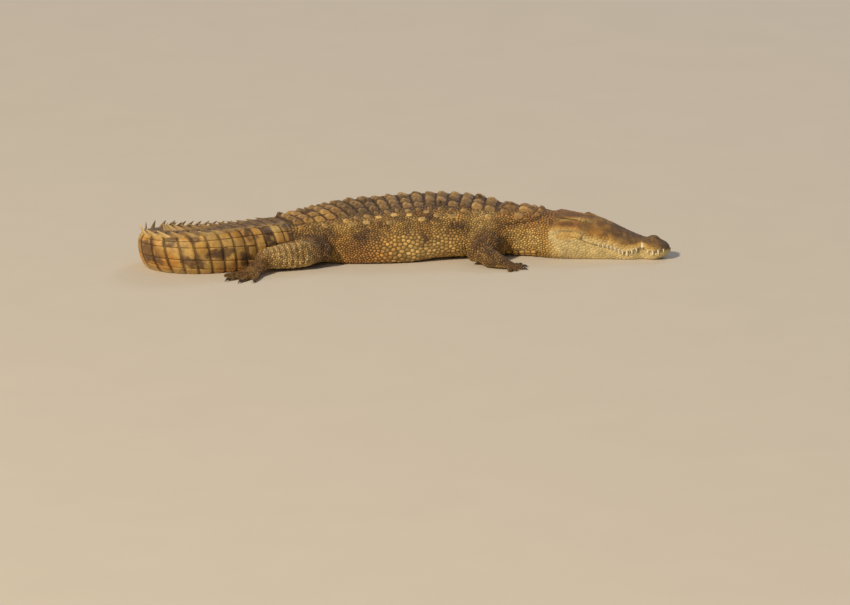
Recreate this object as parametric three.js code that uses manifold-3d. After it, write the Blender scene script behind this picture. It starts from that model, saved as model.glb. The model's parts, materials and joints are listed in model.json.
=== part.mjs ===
// A life-size adult marsh crocodile at rest: it lies on its belly with the head on the floor, the near legs
// folded beside the body and the end of the tail curled round behind it.
// Millimetres, +Z up, +X towards the head. The origin is on the floor under the middle of the belly.
//
// The body from snout to tail tip is one tube round a curved spine. Every place on it is given by s, the
// distance from the snout tip along the spine, then by a distance to the left and a height.
import * as THREE from "three";
import { mergeVertices } from "three/addons/utils/BufferGeometryUtils.js";
import Module from "manifold-3d";

const wasm = await Module();
wasm.setup();

// ---------------------------------------------------------------- driving dimensions

const LENGTH = 3350; // snout tip to tail tip along the spine
const GAP = 0.4; // clearance between neighbouring pieces

// Stations along the spine.
const NOTCH = 107; // where the fourth lower tooth fits in the upper jaw
const EYE = 366;
const SKULL_END = 488;
const JAW_END = 545;
const SHOULDER = 760;
const MID_TRUNK = 1175;
const VENT = 1730;

// Whorls are the rings of scales round the tail, each a little shorter than the one before. The first ones
// carry a crest on each side, and the crests draw together into a single one.
const WHORLS = { count: 36, from: VENT + 6, first: 50, shrink: 0.42, doubled: 18 };
const whorlStart = (k) => WHORLS.from + WHORLS.first * k - (WHORLS.shrink * k * (k - 1)) / 2;

// Where the body is parted into lengths, with the number of rings that shape each length. The trunk's rings
// follow its rows of scales, and the tail is parted between whorls.
const LENGTHS = [
  { name: "neck", from: JAW_END, to: 735, rings: 5, sides: 24 },
  { name: "trunk", from: 735, to: VENT },
  { name: "tail_base", from: VENT, to: whorlStart(7), whorls: [0, 7], rings: 6, sides: 16 },
  { name: "tail_middle", from: whorlStart(7), to: whorlStart(12), whorls: [7, 12], rings: 6, sides: 16 },
  { name: "tail_bend", from: whorlStart(12), to: whorlStart(18), whorls: [12, 18], rings: 8, sides: 14 },
  { name: "tail_end", from: whorlStart(18), to: whorlStart(26), whorls: [18, 26], rings: 6, sides: 12 },
  { name: "tail_tip", from: whorlStart(26), to: LENGTH, whorls: [26, 36], rings: 5, sides: 10 },
];

// Outline curves, each a list of [s, value].
// The heading turns from straight back (0) towards the far side, in degrees.
const HEADING = [
  [0, 13], [500, 13], [650, 8], [900, 5], [1150, -5], [1400, -19], [1600, -29], [1850, -34],
  [2022, -29], [2147, -8], [2267, 28], [2397, 92], [2532, 132], [2800, 143], [LENGTH, 124],
];
// Height of the back.
const TOP = [
  [0, 50], [8, 62], [25, 75], [50, 84], [90, 88], [120, 93], [160, 104], [209, 122], [266, 147], [320, 165],
  [355, 171], [400, 162], [450, 164], [SKULL_END, 173], [JAW_END, 186], [600, 194], [660, 198], [710, 202],
  [760, 212], [830, 225], [900, 230], [1012, 231], [1187, 222], [1411, 208], [1550, 197], [1650, 191],
  [VENT, 188], [1902, 189], [2000, 187], [2141, 179], [2300, 168], [2500, 142], [2700, 114], [2900, 88],
  [3100, 60], [3250, 38], [LENGTH, 14],
];
// Half the width at the widest.
const HALF_WIDTH = [
  [0, 20], [8, 40], [30, 58], [65, 61], [NOTCH, 54], [145, 69], [185, 77], [240, 87], [300, 102], [350, 115],
  [400, 129], [450, 138], [500, 140], [560, 134], [620, 131], [690, 141], [760, 170], [850, 212], [950, 247],
  [1050, 270], [1150, 281], [1250, 281], [1350, 267], [1450, 240], [1550, 203], [1650, 165], [VENT, 138],
  [1850, 117], [2000, 101], [2141, 89], [2300, 75], [2500, 59], [2700, 45], [2900, 33], [3100, 22],
  [3250, 14], [LENGTH, 5],
];
// Height of the widest place. Along the snout it is the lip.
const WIDEST = [
  [0, 46], [60, 42], [NOTCH, 54], [135, 46], [185, 38], [213, 45], [240, 55], [300, 66], [350, 76], [400, 82],
  [450, 82], [500, 78], [600, 80], [SHOULDER, 90], [975, 88], [1187, 72], [1455, 66], [1650, 72], [1900, 84],
  [2141, 100], [2300, 104], [2500, 88], [2700, 64], [2900, 44], [3150, 24], [LENGTH, 7],
];
// Depth of the round underside, before the floor flattens it. It is below the floor where it is negative.
const UNDERSIDE = [
  [0, 26], [15, 14], [45, 1], [90, -9], [150, -14], [300, -19], [450, -18], [600, -16], [SHOULDER, -15],
  [975, -16], [1187, -30], [1455, -40], [1600, -30], [VENT, -22], [2000, -20], [2500, -12], [3000, -4],
  [LENGTH, -1],
];
// Squareness of the section above and below the widest place: 2 is an ellipse, more is squarer.
const SQUARE_ABOVE = [
  [0, 2.4], [150, 2.5], [300, 2.2], [450, 2.0], [600, 2.2], [900, 2.5], [1300, 2.5], [1750, 2.4], [2000, 2.9],
  [2300, 2.7], [2600, 2.0], [LENGTH, 1.7],
];
const SQUARE_BELOW = [
  [0, 2.8], [120, 3.8], [300, 3.8], [500, 2.8], [975, 2.5], [1187, 3.4], [1455, 3.4], [1800, 3.0],
  [2050, 2.5], [2250, 2.0], [LENGTH, 1.9],
];
// Height of the closed mouth, wavy where the big teeth sit. Behind the corner it follows the jaw joint.
const MOUTH = [
  [-20, 50], [0, 48], [27, 46], [53, 41], [80, 41], [NOTCH, 58], [133, 47], [160, 39], [187, 36], [213, 46],
  [240, 58], [275, 64], [311, 70], [350, 84], [398, 102], [460, 108], [600, 112],
];
const MOUTH_CORNER = 398;
const LIP_OVERHANG = 9; // the lower jaw is this much narrower than the upper, each side

// ---------------------------------------------------------------- helpers: curves, solids, lofts

// A smooth function through [at, value] pairs that doesn't overshoot them.
function curveThrough(pairs) {
  const slope = (i) => (pairs[i + 1][1] - pairs[i][1]) / (pairs[i + 1][0] - pairs[i][0]);
  const tangents = pairs.map((_, i) => {
    if (i === 0) return slope(0);
    if (i === pairs.length - 1) return slope(i - 1);
    const [before, after] = [slope(i - 1), slope(i)];
    return before * after <= 0 ? 0 : (2 * before * after) / (before + after);
  });
  return (at) => {
    const last = pairs.length - 1;
    if (at <= pairs[0][0]) return pairs[0][1];
    if (at >= pairs[last][0]) return pairs[last][1];
    const i = pairs.findIndex((pair) => pair[0] > at) - 1;
    const width = pairs[i + 1][0] - pairs[i][0];
    const t = (at - pairs[i][0]) / width;
    const ease = t * t * (3 - 2 * t);
    const leave = t * (1 - t) * (1 - t) * width * tangents[i];
    const arrive = t * t * (t - 1) * width * tangents[i + 1];
    return pairs[i][1] * (1 - ease) + pairs[i + 1][1] * ease + leave + arrive;
  };
}

const heading = curveThrough(HEADING);
const top = curveThrough(TOP);
const halfWidth = curveThrough(HALF_WIDTH);
const widest = curveThrough(WIDEST);
const underside = curveThrough(UNDERSIDE);
const squareAbove = curveThrough(SQUARE_ABOVE);
const squareBelow = curveThrough(SQUARE_BELOW);
const mouth = curveThrough(MOUTH);

// The spine's own frame at s: a point on the floor, the forward direction and the left one.
const SPINE_STEP = 5;
const spinePoints = [new THREE.Vector2(0, 0)];
for (let s = 0; s < LENGTH; s += SPINE_STEP) {
  const turn = THREE.MathUtils.degToRad(heading(s + SPINE_STEP / 2));
  const step = new THREE.Vector2(-Math.cos(turn), Math.sin(turn)).multiplyScalar(SPINE_STEP);
  spinePoints.push(spinePoints.at(-1).clone().add(step));
}
const origin = spinePoints[Math.round(MID_TRUNK / SPINE_STEP)].clone();
spinePoints.forEach((point) => point.sub(origin));

function spineFrame(s) {
  const turn = THREE.MathUtils.degToRad(heading(s));
  const forward = new THREE.Vector3(Math.cos(turn), -Math.sin(turn), 0);
  const left = new THREE.Vector3(Math.sin(turn), Math.cos(turn), 0);
  const i = THREE.MathUtils.clamp(Math.floor(s / SPINE_STEP), 0, spinePoints.length - 1);
  const foot = new THREE.Vector3(spinePoints[i].x, spinePoints[i].y, 0);
  return { foot: foot.addScaledVector(forward, i * SPINE_STEP - s), forward, left, turn };
}

// The point at s along the spine, a distance to its left and a height.
function place(s, sideways, height) {
  const { foot, left } = spineFrame(s);
  return foot.clone().addScaledVector(left, sideways).setZ(height);
}

// A closed mesh becomes a manifold solid, and a solid becomes a named mesh.
function solidOf(geometry) {
  const bare = geometry.clone();
  bare.deleteAttribute("normal");
  bare.deleteAttribute("uv");
  const merged = mergeVertices(bare, 1e-4);
  const mesh = new wasm.Mesh({
    numProp: 3,
    vertProperties: merged.attributes.position.array,
    triVerts: new Uint32Array(merged.index.array),
  });
  return new wasm.Manifold(mesh);
}

function geometryOf(solid) {
  const mesh = solid.getMesh();
  const geometry = new THREE.BufferGeometry();
  geometry.setAttribute("position", new THREE.BufferAttribute(new Float32Array(mesh.vertProperties), 3));
  geometry.setIndex(new THREE.BufferAttribute(new Uint32Array(mesh.triVerts), 1));
  geometry.computeVertexNormals();
  return geometry;
}

const join = (solids) => solids.reduce((all, solid) => all.add(solid));

// The one large body left when a cut has parted thin shavings from it.
const largest = (solid) => solid.decompose().reduce((a, b) => (a.volume() > b.volume() ? a : b));

// A closed skin over rings of points, all with the same count, that run leftwards over the top tailwards.
function loft(rings) {
  const sides = rings[0].length;
  const middleOf = (ring) => ring.reduce((sum, p) => sum.add(p), new THREE.Vector3()).divideScalar(sides);
  const points = [...rings.flat(), middleOf(rings[0]), middleOf(rings.at(-1))];
  const index = [];
  for (let r = 0; r < rings.length - 1; r += 1) {
    for (let k = 0; k < sides; k += 1) {
      const a = r * sides + k;
      const b = r * sides + ((k + 1) % sides);
      index.push(a, a + sides, b, b, a + sides, b + sides);
    }
  }
  const first = rings.length * sides;
  const lastRing = (rings.length - 1) * sides;
  for (let k = 0; k < sides; k += 1) {
    const next = (k + 1) % sides;
    index.push(first, k, next, first + 1, lastRing + next, lastRing + k);
  }
  const geometry = new THREE.BufferGeometry().setFromPoints(points);
  geometry.setIndex(index);
  return solidOf(geometry);
}

const v = (x, y, z) => new THREE.Vector3(x, y, z);
const bothSides = [-1, 1];

// Evenly spaced numbers that include both ends.
function steps(from, to, count) {
  return Array.from({ length: count }, (_, i) => from + ((to - from) * i) / (count - 1));
}

const MOUND_FACETS = [8, 5];

// An ellipsoid at a place on the body. Its radii are forward, sideways and up, and pitch tips its front down.
function mound({ s, sideways, height, radii, pitch }) {
  const ball = new THREE.SphereGeometry(1, ...MOUND_FACETS).scale(...radii).rotateY(pitch);
  return solidOf(ball.rotateZ(-spineFrame(s).turn).translate(...place(s, sideways, height)));
}

// ---------------------------------------------------------------- the body's own surface

const power = (base, exponent) => Math.sign(base) * Math.abs(base) ** exponent;

// The point of the body's outline at s and an angle that runs from the left over the top. The outline is
// flat where it rests on the floor. A swell moves it outwards, and a narrowing makes it slimmer.
function outlinePoint(s, angle, swell = 0, narrowing = 0) {
  const above = Math.sin(angle) >= 0;
  const exponent = 2 / (above ? squareAbove(s) : squareBelow(s));
  const width = halfWidth(s) + swell - narrowing;
  const rise = above ? top(s) + swell - widest(s) : widest(s) - underside(s) + swell;
  const height = widest(s) + rise * power(Math.sin(angle), exponent);
  return place(s, width * power(Math.cos(angle), exponent), Math.max(height, -swell));
}

const roundAngles = (sides) => steps(0, 2 * Math.PI, sides + 1).slice(0, sides);

// Height of the body's upper surface at s, a distance sideways.
function surfaceHeight(s, sideways) {
  const square = squareAbove(s);
  const share = Math.min(1, Math.abs(sideways) / halfWidth(s));
  return widest(s) + (top(s) - widest(s)) * (1 - share ** square) ** (1 / square);
}

function bodyLength(from, to, rings, sides, swell = 0) {
  const angles = roundAngles(sides);
  return loft(steps(from, to, rings).map((s) => angles.map((angle) => outlinePoint(s, angle, swell))));
}

const KEEL_SUNK = 4; // how far a single plate reaches under the skin
const KEEL_TILT = -0.12; // and how far its back edge is lifted, in radians

// A four-sided keeled plate lying on the back, as long, wide and high as given.
function keel(s, sideways, [long, wide, high]) {
  const cone = new THREE.ConeGeometry(Math.SQRT1_2, 1, 4).rotateY(Math.PI / 4).rotateX(Math.PI / 2);
  cone.scale(long, wide, high + KEEL_SUNK).rotateY(KEEL_TILT).rotateZ(-spineFrame(s).turn);
  const middle = place(s, sideways, surfaceHeight(s, sideways) + (high - KEEL_SUNK) / 2);
  return solidOf(cone.translate(...middle));
}

// A crest scale starts low at its front and ends in a point. Base and tip are shares of the scale's length,
// so that the point leans back over the front of the next scale.
const CREST = { sunk: 14, front: { base: 0.06, tip: 0.06, rise: 1.5 }, back: { base: 0.84, tip: 1.1 } };

// A row of crest scales {s, long, sideways, high, wide} joined end to end.
function ridge(scales) {
  const ring = ({ s, long, sideways, wide }, { base, tip, rise }) => {
    const [at, over] = [s + base * long, s + tip * long];
    const foot = surfaceHeight(at, sideways) - CREST.sunk;
    return [
      place(at, sideways + wide / 2, foot),
      place(over, sideways, surfaceHeight(over, sideways) + rise),
      place(at, sideways - wide / 2, foot),
    ];
  };
  return loft(
    scales.flatMap((scale) => [ring(scale, CREST.front), ring(scale, { ...CREST.back, rise: scale.high })]),
  );
}

// ---------------------------------------------------------------- head

const SNOUT_STATIONS = [0, 6, 20, 45, 75, 96, 112, 132, 165, 195, 222, 250];
const HEAD_STATIONS = [...SNOUT_STATIONS, ...steps(287, JAW_END - GAP / 2, 8)];
const JAW_POINTS = { upper: 14, lower: 10 }; // points of a ring above and below the mouth

// The angle, from the left, at which the outline at s passes a height.
function angleAt(s, height) {
  const above = height >= widest(s);
  const reach = above ? top(s) - widest(s) : widest(s) - underside(s);
  const share = Math.min(1, Math.abs(height - widest(s)) / reach);
  return Math.asin(power(share, (above ? squareAbove(s) : squareBelow(s)) / 2)) * (above ? 1 : -1);
}

// The skull above the line of the mouth, and the lower jaw under it, slimmer by the lip's overhang.
function upperJaw() {
  return loft(
    HEAD_STATIONS.map((s) => {
      const lip = angleAt(s, mouth(s) + GAP / 2);
      return steps(lip, Math.PI - lip, JAW_POINTS.upper).map((angle) => outlinePoint(s, angle));
    }),
  );
}

const overhang = curveThrough([[0, LIP_OVERHANG], [MOUTH_CORNER - 60, LIP_OVERHANG], [MOUTH_CORNER + 60, 0]]);

function lowerJaw() {
  return loft(
    HEAD_STATIONS.map((s) => {
      const lip = angleAt(s, mouth(s) - GAP / 2);
      const angles = steps(Math.PI - lip, 2 * Math.PI + lip, JAW_POINTS.lower);
      return angles.map((angle) => outlinePoint(s, angle, 0, overhang(s)));
    }),
  );
}

// Teeth of one jaw, each [s, length, thickness]. They point up from the lower jaw (1) or down from the upper
// one (-1), and their roots stand out this far from the lip, so that the upper ones clear the lower jaw.
const UPPER_TEETH = {
  up: -1,
  out: 1.5,
  teeth: [
    [16, 10, 7], [34, 12, 8], [56, 15, 9], [76, 15, 9], [131, 10, 8], [150, 13, 9], [170, 17, 9],
    [191, 19, 9], [211, 13, 9], [232, 10, 8], [256, 9, 8], [282, 8, 8],
  ],
};
// The fourth lower tooth, the only one that shows outside the lip, stands in the notch.
const LOWER_TEETH = { up: 1, out: 1, teeth: [[NOTCH, 23, 13]] };
const TOOTH = { facets: 4, root: 6, splay: 0.12 };

// All the teeth of a jaw as one solid of four-sided cones, splayed a little outwards.
function teethOf({ up, out, teeth }, swell = 0) {
  const cones = bothSides.flatMap((side) =>
    teeth.map(([s, long, thick]) => {
      const cone = new THREE.ConeGeometry(thick / 2 + swell, long + TOOTH.root + swell, TOOTH.facets);
      cone.rotateX((up * Math.PI) / 2).rotateX(TOOTH.splay * up * side);
      const sideways = side * (halfWidth(s) - thick / 2 + out);
      return solidOf(cone.translate(...place(s, sideways, mouth(s) + (up * (long - TOOTH.root)) / 2)));
    }),
  );
  return join(cones);
}

const EYEBALL = { radius: 16, sideways: 50, height: 157, facets: [10, 6] };

function eyeball(side, swell = 0) {
  const ball = new THREE.SphereGeometry(EYEBALL.radius + swell, ...EYEBALL.facets);
  return solidOf(ball.translate(...place(EYE, side * EYEBALL.sideways, EYEBALL.height)));
}

// The flat bony roof of the skull behind the eyes, with its half width and height at the front and the back.
const TABLE = { from: 385, to: SKULL_END, half: [56, 76], roof: [172, 182], foot: 118, edge: 8, dip: 4 };

function skullTable() {
  const { from, to, half, roof, foot, edge, dip } = TABLE;
  const rings = [0, 0.5, 1].map((share) => {
    const s = THREE.MathUtils.lerp(from, to, share);
    const out = THREE.MathUtils.lerp(...half, share);
    const high = THREE.MathUtils.lerp(...roof, share);
    const profile = [[out, foot], [out, high - edge], [out - edge, high], [0, high - dip]];
    const mirrored = profile.slice(0, -1).reverse().map(([sideways, height]) => [-sideways, height]);
    return [...profile, ...mirrored].map(([sideways, height]) => place(s, sideways, height));
  });
  return loft(rings);
}

// Bumps on the skull: where, how big and how far tipped down at the front, in radians.
const BROW = { s: EYE - 2, sideways: 42, height: 152, radii: [42, 22, 26], pitch: 0.1 };
const NOSE = { s: 70, sideways: 0, height: 80, radii: [32, 34, 22], pitch: 0.12 };

function makeHead() {
  const bumps = [NOSE, BROW, { ...BROW, sideways: -BROW.sideways }].map(mound);
  const eyeRooms = join(bothSides.map((side) => eyeball(side, GAP)));
  const skull = join([upperJaw(), ...bumps, skullTable(), teethOf(UPPER_TEETH)]);
  return {
    upper: skull.subtract(eyeRooms).subtract(teethOf(LOWER_TEETH, GAP)),
    lower: join([lowerJaw(), teethOf(LOWER_TEETH)]),
  };
}

// ---------------------------------------------------------------- neck, trunk and tail

// Plates on the neck: the size of each [long, wide, high] and their places [s, either side of the middle].
const NECK_PLATES = [
  { size: [62, 52, 14], at: [[628, 29], [688, 27], [652, 82]] },
  { size: [30, 28, 9], at: [[560, 19], [568, 58]] },
];

// Keeled scales of the back: rows along it, each with a keel at these distances either side of the middle. A
// keel rises along its scale to a point at this share of it and drops to the next row.
const SHIELD = {
  from: 752, to: 1716, rows: 16,
  keels: [33, 98], valleys: [0, 66, 131],
  high: 8, point: 0.84,
};
// Angles of the outline's other points, from the left over the top, in degrees.
const FLANK_ANGLES = { left: [0, 20, 42], right: [138, 160, 180], belly: [205, 235, 270, 305, 335] };

// One ring of the trunk, with its keels lifted by this much. The shield narrows with the body at both ends.
function trunkRing(s, lift, swell) {
  const flank = (angles) => angles.map((angle) => outlinePoint(s, THREE.MathUtils.degToRad(angle), swell));
  const narrow = Math.min(1, halfWidth(s) / 200);
  const heights = new Map([...SHIELD.valleys.map((at) => [at, 0]), ...SHIELD.keels.map((at) => [at, lift])]);
  const left = [...heights.keys()].sort((a, b) => b - a);
  const back = [...left, ...left.slice(0, -1).reverse().map((at) => -at)].map((at) => {
    const sideways = at * narrow;
    return place(s, sideways, surfaceHeight(s, sideways) + heights.get(Math.abs(at)) + swell);
  });
  return [...flank(FLANK_ANGLES.left), ...back, ...flank(FLANK_ANGLES.right), ...flank(FLANK_ANGLES.belly)];
}

function trunkBetween(from, to, swell = 0) {
  const long = (SHIELD.to - SHIELD.from) / SHIELD.rows;
  const rows = steps(SHIELD.from, SHIELD.to - long, SHIELD.rows);
  const rings = rows.flatMap((s) => [
    trunkRing(s, 0, swell),
    trunkRing(s + SHIELD.point * long, SHIELD.high, swell),
  ]);
  return loft([trunkRing(from, 0, swell), ...rings, trunkRing(to, 0, swell)]);
}

// The crest's height, distance from the middle and width at the base, by the number of the whorl.
const crestHeight = curveThrough([
  [0, 10], [3, 19], [5, 27], [10, 32], [16, 35], [20, 36], [26, 34], [32, 26], [36, 14],
]);
const crestSpread = curveThrough([[0, 64], [8, 58], [13, 44], [17, 14], [18, 8]]);
const crestWidth = curveThrough([[0, 30], [18, 18], [36, 8]]);

// The crests of one length of the tail, a pair where they are doubled and otherwise one along the middle.
function crestsOf([first, end]) {
  const crest = (side) =>
    ridge(
      Array.from({ length: end - first }, (_, i) => first + i).map((k) => ({
        s: whorlStart(k),
        long: whorlStart(k + 1) - whorlStart(k),
        wide: crestWidth(k),
        high: crestHeight(k),
        sideways: side * crestSpread(k),
      })),
    );
  return first < WHORLS.doubled ? [crest(-1), crest(1)] : [crest(0)];
}

const neckPlates = () =>
  NECK_PLATES.flatMap(({ size, at }) =>
    at.flatMap(([s, sideways]) => bothSides.map((side) => keel(s, side * sideways, size))),
  );

function makeLength({ name, from, to, whorls, rings, sides }) {
  const [start, end] = [from + GAP / 2, to - GAP / 2];
  if (name === "trunk") return trunkBetween(start, end);
  return join([bodyLength(start, end, rings, sides), ...(name === "neck" ? neckPlates() : crestsOf(whorls))]);
}

// ---------------------------------------------------------------- legs

const LIMB_SIDES = 9;
const WEB_THICK = 6; // the skin between the hind toes

// Rings round the line between two points, each [share of the line, wide, high]: wide is level, high is not.
function tube(from, to, rings, sides, swell = 0) {
  const axis = to.clone().sub(from);
  const forward = axis.clone().normalize();
  const across = v(0, 0, 1).cross(forward).normalize();
  const upward = forward.clone().cross(across);
  return loft(
    rings.map(([share, wide, high]) =>
      roundAngles(sides).map((angle) => {
        const point = from.clone().addScaledVector(axis, share);
        point.addScaledVector(across, -(wide + swell) * Math.cos(angle));
        point.addScaledVector(upward, (high + swell) * Math.sin(angle));
        return point.setZ(Math.max(point.z, -swell));
      }),
    ),
  );
}

const LIMB_CAP = { reach: 0.84, scale: 0.5 }; // a blunt end, as shares of the limb's radius there

// A rounded limb: radii are [wide, high] at each end, the middle bulges and both ends are blunt.
function limb(from, to, start, end, bulge = 0, swell = 0) {
  const { lerp, clamp } = THREE.MathUtils;
  const ring = (share, scale) => {
    const t = clamp(share, 0, 1);
    const fat = scale * (1 + bulge * Math.sin(Math.PI * t));
    return [share, lerp(start[0], end[0], t) * fat, lerp(start[1], end[1], t) * fat];
  };
  const long = from.distanceTo(to);
  const [startCap, endCap] = [start, end].map(([wide, high]) => (LIMB_CAP.reach * (wide + high)) / 2 / long);
  const rings = [
    ring(-startCap, LIMB_CAP.scale), ring(0, 1), ring(0.5, 1), ring(1, 1), ring(1 + endCap, LIMB_CAP.scale),
  ];
  return tube(from, to, rings, LIMB_SIDES, swell);
}

// A claw is a curved four-sided horn that starts at the end of the toe and bends down to the floor. Its rings
// are [along, up, radius] as shares of its length.
const CLAW_RINGS = [[0, 0.02, 0.26], [0.4, 0.1, 0.2], [0.75, -0.02, 0.12], [1, -0.17, 0.04]];
const CLAW_SIDES = 4;
const CLAW_FLATNESS = 0.8; // its width as a share of its height

function claw(root, angle, size) {
  const turn = THREE.MathUtils.degToRad(angle);
  const ring = ([along, up, radius]) =>
    steps(2 * Math.PI, 0, CLAW_SIDES + 1)
      .slice(1)
      .map((around) => {
        const sideways = CLAW_FLATNESS * radius * size * Math.cos(around);
        const height = root.z + up * size + radius * size * Math.sin(around);
        return v(
          root.x + along * size * Math.cos(turn) - sideways * Math.sin(turn),
          root.y + along * size * Math.sin(turn) + sideways * Math.cos(turn),
          Math.max(height, GAP),
        );
      });
  return loft(CLAW_RINGS.map(ring));
}

// A toe runs level from its start and thins towards the claw. Rings are [share of its length, scale].
const TOE_RINGS = [[0, 0.65], [0.45, 1], [1, 0.6]];
const TOE_SIDES = 5;
const TOE_HEIGHT = { start: 0.95, tip: 0.62 }; // of its middle line, as shares of its radius
const CLAW_CLEARANCE = 1;

function toe(start, tip, thick) {
  const rings = TOE_RINGS.map(([share, scale]) => [share, thick * scale, thick * scale]);
  return tube(start, tip, rings, TOE_SIDES);
}

// The skin between the toes, a sheet over the outline through these points.
function webOver(corners) {
  const outline = new THREE.Shape(corners.map((corner) => new THREE.Vector2(corner.x, corner.y)));
  const sheet = new THREE.ExtrudeGeometry(outline, { depth: WEB_THICK, bevelEnabled: false });
  return solidOf(sheet.translate(0, 0, WEB_THICK / 2));
}

// A foot: a flat palm and the toes that spread from it, each [angle in plan, length, start across the palm].
// The web reaches this share of the toes' length.
function makeFoot({ wrist, middle, palm, toes, thick, clawed, web, clawSize }) {
  const pieces = [limb(wrist, middle, ...palm)];
  const claws = [];
  const webbed = [];
  const forward = middle.clone().sub(wrist).setZ(0).normalize();
  const across = v(-forward.y, forward.x, 0);
  toes.forEach(([angle, long, offset], i) => {
    const turn = THREE.MathUtils.degToRad(angle);
    const way = v(Math.cos(turn), Math.sin(turn), 0);
    const start = middle.clone().addScaledVector(across, offset).setZ(thick * TOE_HEIGHT.start);
    const tip = start.clone().addScaledVector(way, long).setZ(thick * TOE_HEIGHT.tip);
    pieces.push(toe(start, tip, thick));
    webbed.push(start.clone().lerp(tip, web));
    if (i < clawed) claws.push(claw(tip.clone().addScaledVector(way, CLAW_CLEARANCE), angle, clawSize));
  });
  if (web > 0) pieces.push(webOver([middle, ...webbed]));
  return { foot: join(pieces), claws };
}

// The four legs. Each piece has radii [wide, high] at its two ends, and the joints between pieces are points.
const FORELEG = {
  upper: [[66, 54], [54, 49]], lower: [[44, 42], [35, 28]], bulge: [0.1, 0.14],
  foot: { palm: [[29, 21], [38, 15]], thick: 10.5, clawed: 3, web: 0, clawSize: 24 },
};
const HINDLEG = {
  upper: [[92, 68], [68, 60]], lower: [[59, 56], [45, 46]], bulge: [0.06, 0.12],
  foot: { palm: [[34, 36], [45, 15]], thick: 12.5, clawed: 3, web: 0.55, clawSize: 28 },
};
const LEGS = [
  {
    name: "foreleg_right", build: FORELEG,
    root: v(415, -95, 88), bend: v(340, -300, 52), end: v(434, -349, 30), middle: v(472, -360, 17),
    toes: [[42, 40, 30], [12, 50, 18], [-18, 54, 4], [-46, 46, -12], [-80, 36, -24]],
  },
  {
    name: "foreleg_left", build: FORELEG,
    root: v(430, 85, 88), bend: v(322, 286, 56), end: v(462, 346, 27), middle: v(512, 360, 17),
    toes: [[-36, 46, -30], [-8, 58, -18], [18, 60, -4], [46, 52, 12], [80, 40, 24]],
  },
  {
    name: "hindleg_right", build: HINDLEG,
    root: v(-425, -200, 92), bend: v(-348, -322, 68), end: v(-570, -415, 60), middle: v(-626, -490, 20),
    toes: [[-101, 84, 34], [-119, 116, 14], [-136, 124, -8], [-158, 104, -30]],
  },
  {
    name: "hindleg_left", build: HINDLEG,
    root: v(-350, 40, 92), bend: v(-272, 192, 68), end: v(-500, 136, 42), middle: v(-558, 70, 18),
    toes: [[-160, 50, -26], [-142, 60, -8], [-122, 64, 10], [-100, 56, 28]],
  },
];

// Each piece of a leg gives way to the body and to the pieces before it.
function makeLeg({ name, build, root, bend, end, middle, toes }, body) {
  const { upper, lower, bulge, foot } = build;
  const rooms = [
    body,
    limb(root, bend, ...upper, bulge[0], GAP),
    limb(bend, end, ...lower, bulge[1], GAP),
  ];
  const made = makeFoot({ ...foot, wrist: end, middle, toes });
  const pieces = [limb(root, bend, ...upper, bulge[0]), limb(bend, end, ...lower, bulge[1]), made.foot];
  const names = name.startsWith("fore") ? ["upper_arm", "forearm", "hand"] : ["thigh", "shank", "foot"];
  const nodes = pieces.map((piece, i) => {
    const freed = rooms.slice(0, i + 1).reduce((left, room) => left.subtract(room), piece);
    return [`${name}_${names[i]}`, largest(freed)];
  });
  made.claws.forEach((horn, i) => nodes.push([`claw_${name}_${i + 1}`, horn]));
  return nodes;
}

// ---------------------------------------------------------------- the whole animal

const FINISHES = {
  skin: new THREE.MeshStandardMaterial({ color: 0x8f6a3c, roughness: 0.72, metalness: 0 }),
  jaw: new THREE.MeshStandardMaterial({ color: 0xb99a62, roughness: 0.6, metalness: 0 }),
  limb: new THREE.MeshStandardMaterial({ color: 0x6b4e30, roughness: 0.75, metalness: 0 }),
  horn: new THREE.MeshStandardMaterial({ color: 0x3a2f26, roughness: 0.45, metalness: 0 }),
  eye: new THREE.MeshStandardMaterial({ color: 0x9a8a3c, roughness: 0.15, metalness: 0 }),
};

function finishOf(name) {
  if (name.startsWith("claw")) return FINISHES.horn;
  if (name.startsWith("eye")) return FINISHES.eye;
  if (name === "lower_jaw") return FINISHES.jaw;
  return /leg/.test(name) ? FINISHES.limb : FINISHES.skin;
}

const crocodile = new THREE.Group();
crocodile.name = "crocodile";

function addNode(name, solid) {
  const mesh = new THREE.Mesh(geometryOf(solid), finishOf(name));
  mesh.name = name;
  crocodile.add(mesh);
}

const head = makeHead();
addNode("head", head.upper);
addNode("lower_jaw", head.lower);
addNode("eye_right", eyeball(-1));
addNode("eye_left", eyeball(1));

for (const length of LENGTHS) addNode(length.name, makeLength(length));

// The body with the clearance that the legs keep from it.
const NEAR_LEGS = ["neck", "trunk", "tail_base"];
const body = join(
  LENGTHS.filter(({ name }) => NEAR_LEGS.includes(name)).map(({ name, from, to, rings, sides }) =>
    name === "trunk"
      ? trunkBetween(from - GAP, to + GAP, 2 * GAP)
      : bodyLength(from - GAP, to + GAP, rings, sides, 2 * GAP),
  ),
);
for (const leg of LEGS) {
  for (const [name, solid] of makeLeg(leg, body)) addNode(name, solid);
}

export default crocodile;
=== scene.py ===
# %% [markdown]
# # A marsh crocodile at rest
#
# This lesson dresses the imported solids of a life-size crocodile. The real animal is one bag of skin over
# bone and muscle, and almost all of that skin is covered by scales: broad keeled plates on the back, tall
# rectangles on the tail, ovals on the flanks, tiles on the belly and small cobbles everywhere else. So the
# lesson makes one skin first, lays the scales on it as solid mesh, and adds eyes, teeth and claws.
#
# Lengths are in millimetres until a mesh is made, when MM turns them into metres.

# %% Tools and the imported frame
import itertools
import json
import math

import bpy
import numpy as np
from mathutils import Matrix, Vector
from mathutils.bvhtree import BVHTree
from mathutils.kdtree import KDTree

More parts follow.
